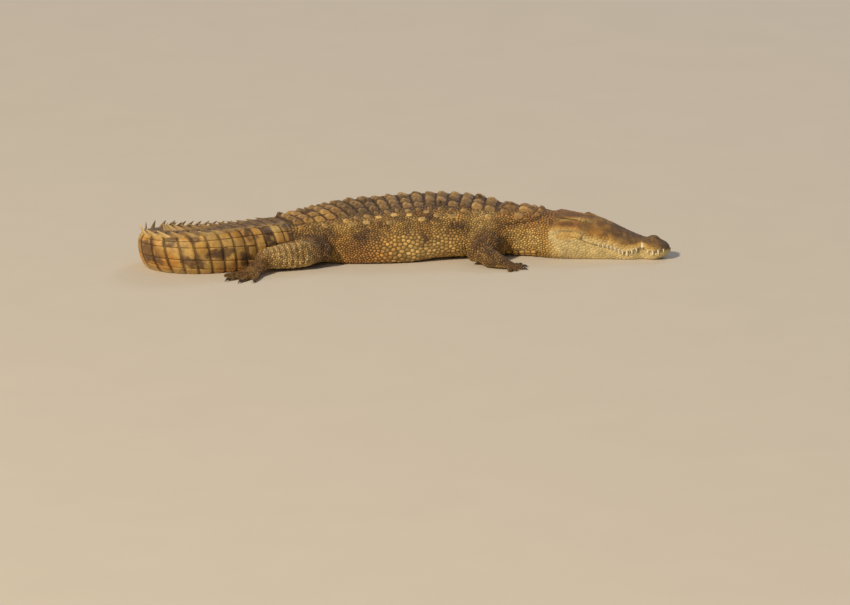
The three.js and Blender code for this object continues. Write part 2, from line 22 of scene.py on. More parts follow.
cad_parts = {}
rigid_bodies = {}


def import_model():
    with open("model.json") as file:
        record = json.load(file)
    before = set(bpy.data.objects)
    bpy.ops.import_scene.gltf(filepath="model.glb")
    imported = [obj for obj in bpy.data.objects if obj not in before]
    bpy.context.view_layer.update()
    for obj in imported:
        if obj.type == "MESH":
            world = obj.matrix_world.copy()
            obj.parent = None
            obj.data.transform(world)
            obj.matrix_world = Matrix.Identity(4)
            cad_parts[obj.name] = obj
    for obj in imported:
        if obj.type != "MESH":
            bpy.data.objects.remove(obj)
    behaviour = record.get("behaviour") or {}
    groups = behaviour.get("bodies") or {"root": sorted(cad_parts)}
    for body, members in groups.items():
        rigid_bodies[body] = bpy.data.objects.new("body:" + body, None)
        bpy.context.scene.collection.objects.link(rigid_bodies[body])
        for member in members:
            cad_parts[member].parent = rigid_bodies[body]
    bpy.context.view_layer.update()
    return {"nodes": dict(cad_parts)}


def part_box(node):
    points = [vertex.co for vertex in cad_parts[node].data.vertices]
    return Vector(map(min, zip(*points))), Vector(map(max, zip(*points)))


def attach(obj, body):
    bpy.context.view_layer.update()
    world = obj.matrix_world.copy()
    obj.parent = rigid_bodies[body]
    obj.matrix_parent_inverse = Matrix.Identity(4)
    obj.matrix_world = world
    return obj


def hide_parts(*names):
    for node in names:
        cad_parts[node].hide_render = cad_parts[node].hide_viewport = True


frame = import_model()
MM = 0.001
rng = np.random.default_rng(7)

# %% [markdown]
# ## The line of the body
#
# Every place on head, body and tail is given by s, the distance from the snout tip along the spine, then a
# distance to the left of it and a height. The outline is a handful of curves over s. They are smooth curves
# that don't overshoot their points, as a draughtsman's spline wouldn't.

# %% Stations and outline curves
LENGTH = 3350
NOTCH, EYE, JAW_END, MID_TRUNK, VENT = 107, 366, 545, 1175, 1730
MOUTH_CORNER, LIP_OVERHANG = 398, 9


def curve_through(pairs):
    """A smooth function through (at, value) pairs that doesn't overshoot them."""
    at, value = np.array(pairs, float).T
    slope = np.diff(value) / np.diff(at)
    same_way = slope[:-1] * slope[1:] > 0
    total = np.where(same_way, slope[:-1] + slope[1:], 1)
    inner = np.where(same_way, 2 * slope[:-1] * slope[1:] / total, 0)
    tangent = np.concatenate([slope[:1], inner, slope[-1:]])

    def curve(x):
        x = np.clip(np.asarray(x, float), at[0], at[-1])
        i = np.clip(np.searchsorted(at, x, side="right") - 1, 0, len(at) - 2)
        width = at[i + 1] - at[i]
        t = (x - at[i]) / width
        ease = t * t * (3 - 2 * t)
        leave = t * (1 - t) ** 2 * width * tangent[i]
        arrive = t * t * (t - 1) * width * tangent[i + 1]
        return value[i] * (1 - ease) + value[i + 1] * ease + leave + arrive

    return curve


# %% Heading and outline of the body
# The heading is in degrees. The others are heights above the floor or distances from the middle, and the two
# exponents say how square the cross-section is above and below its widest height.
heading = curve_through([
    (0, 13), (500, 13), (650, 8), (900, 5), (1150, -5), (1400, -19), (1600, -29), (1850, -34), (2022, -29),
    (2147, -8), (2267, 28), (2397, 92), (2532, 132), (2800, 143), (LENGTH, 124),
])
top = curve_through([
    (0, 50), (8, 62), (25, 75), (50, 84), (90, 88), (120, 93), (160, 104), (209, 122), (266, 147), (320, 165),
    (355, 171), (400, 162), (450, 164), (488, 173), (545, 186), (600, 194), (660, 198), (710, 202),
    (760, 212), (830, 225), (900, 230), (1012, 231), (1187, 222), (1411, 208), (1550, 197), (1650, 191),
    (1730, 188), (1902, 189), (2000, 187), (2141, 179), (2300, 168), (2500, 142), (2700, 114), (2900, 88),
    (3100, 60), (3250, 38), (LENGTH, 14),
])
half_width = curve_through([
    (0, 20), (8, 40), (30, 58), (65, 61), (107, 54), (145, 69), (185, 77), (240, 87), (300, 102), (350, 115),
    (400, 129), (450, 138), (500, 140), (560, 134), (620, 131), (690, 141), (760, 170), (850, 212),
    (950, 247),
    (1050, 270), (1150, 281), (1250, 281), (1350, 267), (1450, 240), (1550, 203), (1650, 165), (1730, 138),
    (1850, 117), (2000, 101), (2141, 89), (2300, 75), (2500, 59), (2700, 45), (2900, 33), (3100, 22),
    (3250, 14), (LENGTH, 5),
])
widest = curve_through([
    (0, 46), (60, 42), (107, 54), (135, 46), (185, 38), (213, 45), (240, 55), (300, 66), (350, 76), (400, 82),
    (450, 82), (500, 78), (600, 80), (760, 90), (975, 88), (1187, 72), (1455, 66), (1650, 72), (1900, 84),
    (2141, 100), (2300, 104), (2500, 88), (2700, 64), (2900, 44), (3150, 24), (LENGTH, 7),
])
underside = curve_through([
    (0, 26), (15, 14), (45, 1), (90, -9), (150, -14), (300, -19), (450, -18), (600, -16), (760, -15),
    (975, -16), (1187, -30), (1455, -40), (1600, -30), (1730, -22), (2000, -20), (2500, -12), (3000, -4),
    (LENGTH, -1),
])
square_above = curve_through([
    (0, 2.4), (150, 2.5), (300, 2.2), (450, 2.0), (600, 2.2), (900, 2.5), (1300, 2.5), (1750, 2.4),
    (2000, 2.9),
    (2300, 2.7), (2600, 2.0), (LENGTH, 1.7),
])
square_below = curve_through([
    (0, 2.8), (120, 3.8), (300, 3.8), (500, 2.8), (975, 2.5), (1187, 3.4), (1455, 3.4), (1800, 3.0),
    (2050, 2.5), (2250, 2.0), (LENGTH, 1.9),
])

# %% Mouth line, lips and skin depth
mouth = curve_through([
    (-20, 50), (0, 48), (27, 46), (53, 41), (80, 41), (107, 58), (133, 47), (160, 39), (187, 36), (213, 46),
    (240, 58), (275, 64), (311, 70), (350, 84), (398, 102), (460, 108), (600, 112),
])
overhang = curve_through([(0, LIP_OVERHANG), (MOUTH_CORNER - 60, LIP_OVERHANG), (MOUTH_CORNER + 60, 0)])
# How deep the scales are, which is how far the skin lies inside the solids.
coat = curve_through([
    (0, 1.2), (450, 1.5), (560, 3), (800, 4), (1700, 4), (2400, 2.5), (3000, 1.5), (LENGTH, 0.8),
])

# %% The spine
SPINE_STEP = 5.0
SPINE_SPARE = 50  # the spine runs on this far past both tips
spine_at = np.arange(-SPINE_SPARE, LENGTH + SPINE_SPARE + 1, SPINE_STEP)
spine_turn = np.radians(heading(spine_at[:-1] + SPINE_STEP / 2))
spine_steps = SPINE_STEP * np.stack([-np.cos(spine_turn), np.sin(spine_turn)], 1)
spine = np.concatenate([[[0, 0]], np.cumsum(spine_steps, 0)])
spine -= spine[np.searchsorted(spine_at, MID_TRUNK)]


def place(s, sideways, height):
    """The point at s along the spine, a distance to its left and a height."""
    turn = np.radians(heading(s))
    x = np.interp(s, spine_at, spine[:, 0]) + np.sin(turn) * sideways
    y = np.interp(s, spine_at, spine[:, 1]) + np.cos(turn) * sideways
    return np.stack(np.broadcast_arrays(x, y, height), -1)


head_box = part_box("head")
snout = place(0, 0, 50) * MM
print("snout tip at", snout.round(3), "and the head's solid reaches x =", round(head_box[1].x, 3))

# %% [markdown]
# ## Small helpers
#
# A few helpers serve the whole lesson. A smooth step fades one thing into another, and two of them make a
# window. A lumpy noise gives irregular blotches and bumps, and because it hashes fixed numbers it is the same
# each time. Signed powers turn circles into the squarish ovals of a crocodile's cross-section.

# %% Fades, noise and powers


def fade(x, start, end):
    """0 before start, 1 after end and smooth between them, in either direction."""
    t = np.clip((np.asarray(x, float) - start) / (end - start), 0, 1)
    return t * t * (3 - 2 * t)


def window(x, start, full, fall, end):
    """0 before start, 1 from full to fall, and 0 after end."""
    return fade(x, start, full) * fade(x, end, fall)


def bump_at(x, middle, reach):
    """1 at the middle, falling to nothing at about twice the reach."""
    return np.exp(-(((np.asarray(x, float) - middle) / reach) ** 2))


def lumps(points, grain, seed=0):
    """Smooth noise from 0 to 1 with lumps about one grain across."""
    cell = np.asarray(points, float) / grain + 100
    low = np.floor(cell)
    t = cell - low
    t = t * t * (3 - 2 * t)
    total = np.zeros(cell.shape[:-1])
    for corner in itertools.product((0, 1), repeat=3):
        key = (low + corner) @ np.array([12.9898, 78.233, 37.719]) + seed
        weight = np.prod(np.where(corner, t, 1 - t), axis=-1)
        total += weight * np.mod(np.sin(key) * 43758.5453, 1)
    return total


def signed_power(base, exponent):
    return np.sign(base) * np.abs(base) ** exponent


def angles(count):
    return 2 * np.pi * np.arange(count) / count


def length(vectors):
    return np.linalg.norm(vectors, axis=-1)


def unit(vectors):
    return vectors / np.maximum(np.linalg.norm(vectors, axis=-1, keepdims=True), 1e-9)


# %% [markdown]
# ## A tube with an address
#
# Body, limbs and toes are all tubes. Each one is stored as a fine grid of points, ring after ring. Any place
# on it has an address: how far along, in millimetres, and the share of the way round. With that, a scale can
# be laid anywhere and follow the curve of the flesh under it, and the same address gives its place on the
# flat unwrap of the skin.

# %% The tube


class Tube:
    """Rings of points: how far along each ring is, the share round of each column, and the flesh between."""

    def __init__(self, along, around, points, home):
        self.along, self.around, self.points, self.home = along, around, points, home
        side = np.roll(points, -1, 1) - np.roll(points, 1, 1)
        normals = unit(np.cross(side, np.gradient(points, axis=0)))
        outwards = points - points.mean(1, keepdims=True)
        self.normals = normals * np.sign((normals * outwards).sum())

    def at(self, address, lift=0):
        """Points at these addresses (along, around), lifted off the surface."""
        rows, columns = len(self.along), len(self.around)
        row = np.interp(address[..., 0], self.along, np.arange(rows))
        column = np.interp(np.mod(address[..., 1], 1), np.append(self.around, 1), np.arange(columns + 1))
        i, j = np.minimum(row.astype(int), rows - 2), np.minimum(column.astype(int), columns - 1)
        a, b = (row - i)[..., None], (column - j)[..., None]
        k = (j + 1) % columns

        def blend(grid):
            near = grid[i, j] * (1 - b) + grid[i, k] * b
            far = grid[i + 1, j] * (1 - b) + grid[i + 1, k] * b
            return near * (1 - a) + far * a

        return blend(self.points) + np.asarray(lift)[..., None] * blend(self.normals)

    def addresses(self):
        """The address of every point of the tube."""
        return np.stack(np.meshgrid(self.along, self.around, indexing="ij"), -1).reshape(-1, 2)

    def unwrap(self, address):
        """Places on the flat unwrap, in the part of it that belongs to this tube."""
        left, low, right, high = self.home
        share = (address[..., 0] - self.along[0]) / (self.along[-1] - self.along[0])
        return np.stack([left + (right - left) * share, low + (high - low) * np.mod(address[..., 1], 1)], -1)


# %% [markdown]
# ## The body's rings
#
# Each ring is drawn as a half section and mirrored. It has two runs: from the middle of the belly up to the
# mouth line, and from there to the middle of the back, with the groove of the closed mouth between them.
# Behind the jaw the groove fades and the same line carries on at the widest height, so the rows of scales
# run straight from cheek to tail. Points are spread evenly along each run, and more densely near the eye.

# %% Half sections
LOWER_COLUMNS, UPPER_COLUMNS = 40, 70
MOUTH_TURN, LIP_TURN = 0.25, 0.005  # the mouth line's address round the body, and half the groove's
EYE_SHARE = 0.66  # where the eye sits on the run from mouth line to crown


def uneven_shares(count, middle, reach, extra):
    """Shares from 0 to 1 that crowd round the middle."""
    fine = np.linspace(0, 1, 400)
    crowding = np.cumsum(1 + extra * bump_at(fine, middle, reach))
    crowding = (crowding - crowding[0]) / (crowding[-1] - crowding[0])
    return np.interp(np.linspace(0, 1, count), crowding, fine)


LOWER_SHARES = np.linspace(0, 1, LOWER_COLUMNS)
UPPER_SHARES = uneven_shares(UPPER_COLUMNS, EYE_SHARE, 0.16, 2.0)


def spread_along(line, shares):
    """Each row of a polyline (rows, points, 2) drawn again with points at these shares of its length."""
    run = np.cumsum(np.hypot(*np.moveaxis(np.diff(line, axis=1), -1, 0)), axis=1)
    run = np.concatenate([np.zeros((len(line), 1)), run], 1)
    rows = []
    for length, points in zip(run, line):
        rows.append(np.stack([np.interp(shares * length[-1], length, points[:, c]) for c in (0, 1)], -1))
    return np.array(rows), run[:, -1]


def lip_angle(s, height):
    """The angle at which the outline at s passes a height."""
    above = height >= widest(s)
    reach = np.where(above, top(s) - widest(s), widest(s) - underside(s))
    share = np.clip(np.abs(height - widest(s)) / reach, 0, 1)
    square = np.where(above, square_above(s), square_below(s))
    return np.arcsin(share ** (square / 2)) * np.where(above, 1, -1)


def outline(s, angle, narrowing=0):
    """Distance from the middle and height of the skin at s and an angle from the side, up positive."""
    above = angle >= 0
    exponent = 2 / np.where(above, square_above(s), square_below(s))
    depth = np.minimum(coat(s), half_width(s) / 4)
    rise = np.where(above, top(s) - widest(s), widest(s) - underside(s)) - depth
    out = (half_width(s) - depth - narrowing) * signed_power(np.cos(angle), exponent)
    height = widest(s) + rise * signed_power(np.sin(angle), exponent)
    return np.stack([out, np.maximum(height, depth)], -1)


# %% [markdown]
# ## The skull
#
# A crocodile's head is skin stretched on bone, so its forms are the skull's: a flat roof with square edges
# behind the eyes, brows that stand up round them, a mound that carries the nostrils. The roof is joined to
# each ring as a second outline, and the round forms push the finished surface out from inside. The eyelids
# come from the same push: a shell round the eyeball, opened by an almond-shaped slit.

# %% Skull roof
TABLE = {"from": 385, "to": 488, "half": (56, 76), "roof": (172, 182), "foot": 118, "edge": 11, "dip": 4}


def with_roof(s, run):
    """The upper run of each ring, pushed out to the bony roof behind the eyes."""
    share = np.clip((s - TABLE["from"]) / (TABLE["to"] - TABLE["from"]), 0, 1)
    out = np.interp(share, (0, 1), TABLE["half"]) - 2
    high = np.interp(share, (0, 1), TABLE["roof"]) - 1.5 - TABLE["foot"]
    from_foot = run - (0, TABLE["foot"])
    reach = np.maximum(length(from_foot), 1e-6)
    across, up = from_foot[..., 0] / reach, from_foot[..., 1] / reach
    slope = TABLE["dip"] / (out - TABLE["edge"])
    wall = out / np.maximum(across, 1e-6)
    bevel = (out + high - TABLE["edge"]) / np.maximum(across + up, 1e-6)
    roof = (high - TABLE["dip"]) / np.maximum(up - slope * across, 1e-6)
    table = np.minimum(np.minimum(wall, bevel), roof)
    fits = window(s, TABLE["from"] - 20, TABLE["from"] + 6, TABLE["to"] - 6, TABLE["to"] + 36)
    more = np.where(up > 0, np.maximum(table - reach, 0), 0) * fits
    return run + from_foot * (more / reach)[..., None]


print("the roof is", 2 * TABLE["half"][1], "mm wide at the back of the skull")

# %% Forms that push the head's surface
EYEBALL = {"radius": 16, "sideways": 50, "height": 157}
BROW = {"at": (364, 42, 151), "radii": (42, 21, 24)}
NOSE = {"at": (70, 0, 79), "radii": (32, 33, 21)}
LID_THICK = 2.4
GAZE = (-0.24, 0.93, 0.28)  # which way an eye looks: tailwards, outwards, up
LIDS = {"corner": 52, "upper": 13, "lower": -15}  # half the slit's length and its edges, in degrees
EYE_AT = np.array([EYE, EYEBALL["sideways"], EYEBALL["height"]], float)


def swell_over(points, form):
    """Points inside an ellipsoid, drawn in by the depth of the skin, are pushed out to it."""
    at, radii = np.array(form["at"], float), np.array(form["radii"], float) - 1.5
    distance = np.maximum(length((points - at) / radii), 1e-6)
    pushed = (distance**8 + 1) ** (1 / 8)  # a smooth maximum of the distance and 1
    return points + (points - at) * (pushed / distance - 1)[..., None]


def eye_axes():
    """Where the left eye looks, and the directions that are fore and up for it."""
    gaze = unit(np.array(GAZE))
    fore = unit(np.array([-1, 0, 0]) + gaze[0] * gaze)
    upward = np.cross(fore, gaze)
    return gaze, fore, upward * np.sign(upward[2])


def open_lids(points):
    """Eyelids: a shell over the eyeball, parted by a slit that ends in two corners."""
    radius = EYEBALL["radius"]
    away = points - EYE_AT
    distance = np.maximum(length(away), 1e-6)
    gaze, fore, upward = eye_axes()
    way = away / distance[..., None]
    along = np.degrees(np.arctan2(way @ fore, way @ gaze))
    high = np.degrees(np.arcsin(np.clip(way @ upward, -1, 1)))
    taper = np.maximum(1 - (along / LIDS["corner"]) ** 2, 0)
    inside = np.minimum(LIDS["upper"] * taper - high, high - LIDS["lower"] * taper)
    slit = fade(inside, -1, 3) * (np.abs(along) < LIDS["corner"])
    rim = bump_at(inside, -4, 5) * (np.abs(along) < LIDS["corner"] + 6)
    shell = radius + LID_THICK + 0.9 * rim
    wanted = (distance**14 + shell**14) ** (1 / 14)
    wanted = wanted * (1 - slit) + (radius - 3) * slit
    near = (way @ gaze > -0.35) & (distance < 2.2 * radius)
    return np.where(near[..., None], EYE_AT + way * wanted[..., None], points), slit * near


# %% [markdown]
# ## The body surface
#
# Now the rings are put together. The head gets a ring every 3 mm and every 1.5 mm at the eye, because its
# forms are small. The trunk and tail need far fewer. Nostrils, ear slits and folds of loose skin on the
# throat are small moves of the finished points.

# %% Rings of head, body and tail
stations = np.concatenate([
    np.arange(0, 336, 3.0), np.arange(336, 397.5, 1.5), np.arange(399, JAW_END + 15, 3.0),
    np.arange(JAW_END + 20, LENGTH, 5.0), [LENGTH],
])
seam_height = mouth(stations) + (widest(stations) - mouth(stations)) * fade(stations, 500, 720)
lip_gap = 1.2 + 5 * fade(stations, MOUTH_CORNER, 620)
groove_depth = 6 * fade(stations, MOUTH_CORNER + 12, MOUTH_CORNER - 20) * fade(stations, 0, 20) + 0.4


def half_rings(s):
    """Half of every ring from belly to crown as (distance out, height), and the length of its upper run."""
    column = s[:, None]
    lower_end = lip_angle(s, seam_height - lip_gap)[:, None]
    upper_end = lip_angle(s, seam_height + lip_gap)[:, None]
    steps = np.linspace(0, 1, 120)
    lower = outline(column, -np.pi / 2 + (lower_end + np.pi / 2) * steps, overhang(column))
    upper = with_roof(column, outline(column, upper_end + (np.pi / 2 - upper_end) * steps))
    lower, lower_run = spread_along(lower, LOWER_SHARES)
    upper, upper_run = spread_along(upper, UPPER_SHARES)
    groove = (lower[:, -1:] + upper[:, :1]) / 2
    groove[..., 0] = np.minimum(lower[:, -1:, 0], upper[:, :1, 0]) - groove_depth[:, None]
    return np.concatenate([lower, groove, upper], 1), lower_run, upper_run


half, lower_run, upper_run = half_rings(stations)

# %% Forms of the head
NOSTRIL = {"s": 50, "out": 13, "deep": 8}
EAR = {"from": 388, "to": 470, "below": 12, "deep": 4.5}


def shape_head(s, half):
    """The head's forms, on one side: brows, nose, lids, nostrils, ear slit and rough bone."""
    points = np.stack([np.broadcast_to(s[:, None], half.shape[:2]), half[..., 0], half[..., 1]], -1)
    points = swell_over(swell_over(points, NOSE), BROW)
    along, out, height = np.moveaxis(points, -1, 0)
    upper = (height > mouth(along) + 6) & (along < JAW_END)
    # A low ridge runs from each brow towards the nose, and rough bone shows through between them.
    ridge_out = np.interp(along, (110, 330), (20, 40))
    ridge = 3 * bump_at(out, ridge_out, 7) * window(along, 110, 200, 320, 350)
    rough = 2.4 * (lumps(points, 17, 3) - 0.5) + 1.6 * (lumps(points, 8, 5) - 0.5)
    rough *= window(along, 10, 60, 470, 520)
    height += np.where(upper, ridge + rough * fade(length(points - EYE_AT), 18, 30), 0)
    # The nostril is a short groove with a raised rim.
    nostril = bump_at(along, NOSTRIL["s"], 6.5) * bump_at(out, NOSTRIL["out"] + (along - 50) * 0.35, 4)
    rim = bump_at(along, NOSTRIL["s"], 13) * bump_at(out, NOSTRIL["out"], 9)
    height += np.where(height > 60, 2.5 * rim - (NOSTRIL["deep"] + 2.5) * nostril, 0)
    # The ear is a long slit under the edge of the roof, and a flap lies over it.
    start, end = EAR["from"], EAR["to"]
    ear_height = np.interp(along, (start, end), TABLE["roof"]) - EAR["below"]
    outside = out > 40
    slit = bump_at(height, ear_height, 3.4) * window(along, start - 6, start + 8, end - 20, end + 8) * outside
    flap = bump_at(height, ear_height + 8, 6) * window(along, start, start + 12, end - 10, end + 8) * outside
    out += 1.8 * flap - EAR["deep"] * slit
    points, lid_slit = open_lids(np.stack([along, out, height], -1))
    # The hollow share paints near-black shade into the nostrils, the ear slit and the slit between the lids.
    hollow = np.clip(np.maximum(np.where(height > 60, nostril, 0), slit**2) + lid_slit, 0, 1)
    return points, hollow


# %% Folds of loose skin
# The fold of the nape, the edge of the jaw's pale skin as heights and stations, and the folds before the
# shoulder: where each is, how deep, and how it slants.
NAPE_FOLD = {"s": (545, 610, 700), "height": (174, 154, 144)}
JAW_EDGE = ((0, 70, 110), (454, 480, 502))
SHOULDER_FOLDS = ((724, 8, 0.15), (766, 5, -0.25), (690, 4, 0.3))


def above_nape_fold(s, height):
    return height - np.interp(s, NAPE_FOLD["s"], NAPE_FOLD["height"])


def before_fold(s, height, at, lean):
    """How far behind a fold of the shoulder a place is, and how much of the fold is at its height."""
    return s - at - lean * (height - 90), window(height, 35, 60, 150, 180)


def fold_skin(points):
    """Shallow folds round the throat, nape and shoulder, a crease behind the jaw, and the ribs' waves."""
    along, out, height = np.moveaxis(points, -1, 0)
    side = fade(np.abs(out) / half_width(along), 0.5, 0.9)
    wander = 14 * lumps(points, 90, 11)
    folds = window(along, 520, 570, 730, 790) * side * 2.2 * np.cos((along + 0.35 * height + wander) / 7.2)
    nape = above_nape_fold(along, height) - 0.5 * wander + 7
    folds = folds + window(along, 515, 560, 690, 745) * (5 * bump_at(nape, 20, 15) - 6 * bump_at(nape, 0, 6))
    for at, deep, lean in SHOULDER_FOLDS:
        behind, here = before_fold(along, height, at, lean)
        fold = behind - 0.5 * wander + 7
        swell = 0.5 * bump_at(fold, 15, 12) + 0.4 * bump_at(fold, -14, 10)
        folds = folds + deep * here * (swell - bump_at(fold, 0, 6))
    jaw_line = along - np.interp(height, *JAW_EDGE)
    folds = folds - 3.2 * bump_at(jaw_line, 2, 5) * window(height, 2, 20, 90, 112)
    ribs = window(along, 880, 1000, 1500, 1640) * side * 2.5 * (lumps(points, 110, 13) - 0.5)
    out += folds + 2 * ribs
    return np.stack([along, out, height], -1)


half3, hollow_half = shape_head(stations, half)
half3 = fold_skin(half3)
print("rings:", len(stations), "points on a half ring:", half3.shape[1])

# %% The two halves joined


def both_sides(values):
    """A half ring from belly to crown on the right, then from crown back to belly on the left."""
    return np.concatenate([values, values[:, -2:0:-1]], 1)


side_sign = np.concatenate([-np.ones(half3.shape[1]), np.ones(half3.shape[1] - 2)])
lower_turns = LOWER_SHARES * (MOUTH_TURN - LIP_TURN)
upper_turns = MOUTH_TURN + LIP_TURN + UPPER_SHARES * (0.5 - MOUTH_TURN - LIP_TURN)
half_turns = np.concatenate([lower_turns, [MOUTH_TURN], upper_turns])
turns = np.concatenate([half_turns, 1 - half_turns[-2:0:-1]])
local = both_sides(half3)
body_points = place(local[..., 0], side_sign * local[..., 1], np.maximum(local[..., 2], 0.6))
hollow = both_sides(hollow_half)
body = Tube(stations, turns, body_points, home=(0.01, 0.01, 0.99, 0.60))
upper_girth = curve_through(np.stack([stations[::8], upper_run[::8]], 1))


def from_crown(s, distance):
    """The address round the right side of a place this far down from the middle of the back."""
    return 0.5 - (0.25 - LIP_TURN) * distance / upper_girth(s)


def side_share(around):
    """The share of the way up the side, 0 at the middle of the belly and 1 at the middle of the back."""
    return 1 - np.abs(2 * np.mod(around, 1) - 1)


widest_girth = 2 * (upper_run + lower_run).max()
print("girth at its widest:", round(float(widest_girth)), "mm")

# %% [markdown]
# ## Limbs and feet
#
# The legs are lofts too: thigh or upper arm, shank or forearm, a flat palm and the toes. Each is an oval tube
# between two joints, fat in the middle and blunt at the ends, so that they run into each other when joined.

# %% Oval tubes between joints
LIMB_CAP = 0.84


def frame_of(start, end):
    """Three directions at right angles: along the line, level across it, and up from it."""
    forward = unit(end - start)
    across = unit(np.cross([0, 0, 1.0], forward))
    return forward, across, np.cross(forward, across)


def heading_way(degrees):
    """The level direction at this angle in plan."""
    return np.array([math.cos(math.radians(degrees)), math.sin(math.radians(degrees)), 0])


def oval_tube(start, end, shares, wide, high, home, columns=32, depth=2.5, floor=1.5):
    """A tube whose ring at each share of the line from start to end has these radii."""
    start, end = np.array(start, float), np.array(end, float)
    forward, across, upward = frame_of(start, end)
    long = np.linalg.norm(end - start)
    around = np.arange(columns) / columns
    angle = 2 * np.pi * around
    points = start + (shares[:, None] * long)[..., None] * forward
    points = points + ((wide[:, None] - depth) * np.cos(angle))[..., None] * across
    points = points + ((high[:, None] - depth) * np.sin(angle))[..., None] * upward
    points[..., 2] = np.maximum(points[..., 2], floor)
    tube = Tube(shares * long, around, points, home)
    tube.line = (start, forward, across, upward, shares * long, wide, high)
    return tube


SHANK_FOLDS = 25.0  # the distance between the folds across a shank


def limb(start, end, first, last, bulge, home, rings=26, columns=40, folds=0.0):
    """A fleshy limb: radii (wide, high) at both ends, fatter between them, with blunt ends and low folds."""
    long = np.linalg.norm(np.subtract(end, start))
    caps = [LIMB_CAP * (wide + high) / 2 / long for wide, high in (first, last)]
    shares = np.linspace(-1.08 * caps[0], 1 + 1.08 * caps[1], rings)
    past = np.maximum(-shares / caps[0], (shares - 1) / caps[1])
    blunt = 1 - 0.5 * np.clip(past, 0, 1) ** 1.7 - 3.4 * np.clip(past - 1, 0, 1)
    t = np.clip(shares, 0, 1)
    wave = np.cos(2 * np.pi * shares * long / SHANK_FOLDS) * window(t, 0, 0.2, 0.75, 1)
    fat = blunt * (1 + bulge * np.sin(np.pi * t)) * (1 + folds * wave)
    wide = fat * (first[0] + (last[0] - first[0]) * t)
    high = fat * (first[1] + (last[1] - first[1]) * t)
    return oval_tube(start, end, shares, wide, high, home, columns)


def toe_tube(start, tip, thick, home):
    """A toe with two knuckles that thins towards the claw."""
    shares = np.array([-0.12, 0, 0.12, 0.25, 0.4, 0.52, 0.64, 0.78, 0.9, 0.97, 1.0])
    scale = np.array([0.4, 0.7, 0.85, 0.98, 0.9, 0.82, 0.9, 0.8, 0.68, 0.5, 0.25])
    return oval_tube(start, tip, shares, thick * scale, thick * scale * 0.95, home, columns=16, depth=1.0)


# %% The four legs
FORELEG = {
    "upper": ((66, 54), (54, 49)), "lower": ((44, 42), (35, 28)), "bulge": (0.1, 0.14),
    "palm": ((29, 21), (38, 15)), "thick": 10.5, "claw": 24, "web": 0, "folds": 0.012,
}
HINDLEG = {
    "upper": ((92, 68), (68, 60)), "lower": ((59, 56), (45, 46)), "bulge": (0.06, 0.12),
    "palm": ((34, 36), (45, 15)), "thick": 12.5, "claw": 28, "web": 0.55, "folds": 0.035,
}
# Joints of each leg, then its toes: angle in plan, length and place across the palm.
LEGS = {
    "foreleg_right": (
        FORELEG, ((415, -95, 88), (340, -300, 52), (434, -349, 30), (472, -360, 17)),
        ((42, 40, 30), (12, 50, 18), (-18, 54, 4), (-46, 46, -12), (-80, 36, -24)),
    ),
    "foreleg_left": (
        FORELEG, ((430, 85, 88), (322, 286, 56), (462, 346, 27), (512, 360, 17)),
        ((-36, 46, -30), (-8, 58, -18), (18, 60, -4), (46, 52, 12), (80, 40, 24)),
    ),
    "hindleg_right": (
        HINDLEG, ((-425, -200, 92), (-348, -322, 68), (-570, -415, 60), (-626, -490, 20)),
        ((-101, 84, 34), (-119, 116, 14), (-136, 124, -8), (-158, 104, -30)),
    ),
    "hindleg_left": (
        HINDLEG, ((-350, 40, 92), (-272, 192, 68), (-500, 136, 42), (-558, 70, 18)),
        ((-160, 50, -26), (-142, 60, -8), (-122, 64, 10), (-100, 56, 28)),
    ),
}
CLAWED_TOES = 3
TOE_START, TOE_TIP = 0.95, 0.62  # heights of a toe's middle line, as shares of its thickness
UNWRAP_ROW = 0.09  # the height of one leg's strip on the unwrap


def build_leg(build, joints, toes, row):
    """The tubes of one leg, the starts of its claws and the corners of its web."""
    low = 0.61 + row * UNWRAP_ROW
    strip = lambda left, right: (left, low, right, low + UNWRAP_ROW - 0.01)
    root, bend, end, middle = [np.array(p, float) for p in joints]
    tubes = {
        "upper": limb(root, bend, *build["upper"], build["bulge"][0], strip(0.01, 0.30)),
        "lower": limb(bend, end, *build["lower"], build["bulge"][1], strip(0.31, 0.58), rings=60,
                      folds=build["folds"]),
        "palm": limb(end, middle, *build["palm"], 0, strip(0.59, 0.72), rings=20, columns=32),
    }
    forward = unit((middle - end) * (1, 1, 0))
    across = np.array([-forward[1], forward[0], 0])
    claws, web = [], [middle]
    for i, (angle, long, offset) in enumerate(toes):
        way = heading_way(angle)
        start = middle + across * offset
        start[2] = build["thick"] * TOE_START
        tip = start + way * long
        tip[2] = build["thick"] * TOE_TIP
        left = 0.73 + 0.052 * i
        tubes[f"toe_{i + 1}"] = toe_tube(start, tip, build["thick"], strip(left, left + 0.048))
        web.append(start + (tip - start) * build["web"])
        if i < CLAWED_TOES:
            claws.append((tip + way, angle, build["claw"]))
    return {"tubes": tubes, "claws": claws, "web": web if build["web"] else None}


legs = {name: build_leg(*parts, row) for row, (name, parts) in enumerate(LEGS.items())}
print({name: len(leg["tubes"]) for name, leg in legs.items()})

# %% [markdown]
# ## One skin
#
# The tubes become closed meshes and are joined into a single one with a boolean union, so that no seam is
# left. A union leaves a sharp valley where a leg leaves the body, which flesh never has. So the points near
# each valley are averaged with their neighbours a number of times, most strongly at the valley itself. How
# far each one moved is kept, because the scales laid there have to move with it.

# %% Closed meshes from rings


def ring_faces(counts):
    """Faces between rings of points. A ring has as many points as the last one, or half as many."""
    faces, first = [], 0
    for here, then in zip(counts, counts[1:]):
        a = first + np.arange(here)
        b = first + (np.arange(here) + 1) % here
        if then == here:
            faces += np.stack([a, a + here, b + here, b], 1).tolist()
        else:
            low, mid, high = a[::2], a[1::2], np.roll(a[::2], -1)
            c = first + here + np.arange(then)
            d = np.roll(c, -1)
            faces += np.stack([low, c, mid], 1).tolist()
            faces += np.stack([mid, c, d], 1).tolist()
            faces += np.stack([mid, d, high], 1).tolist()
        first += here
    return faces


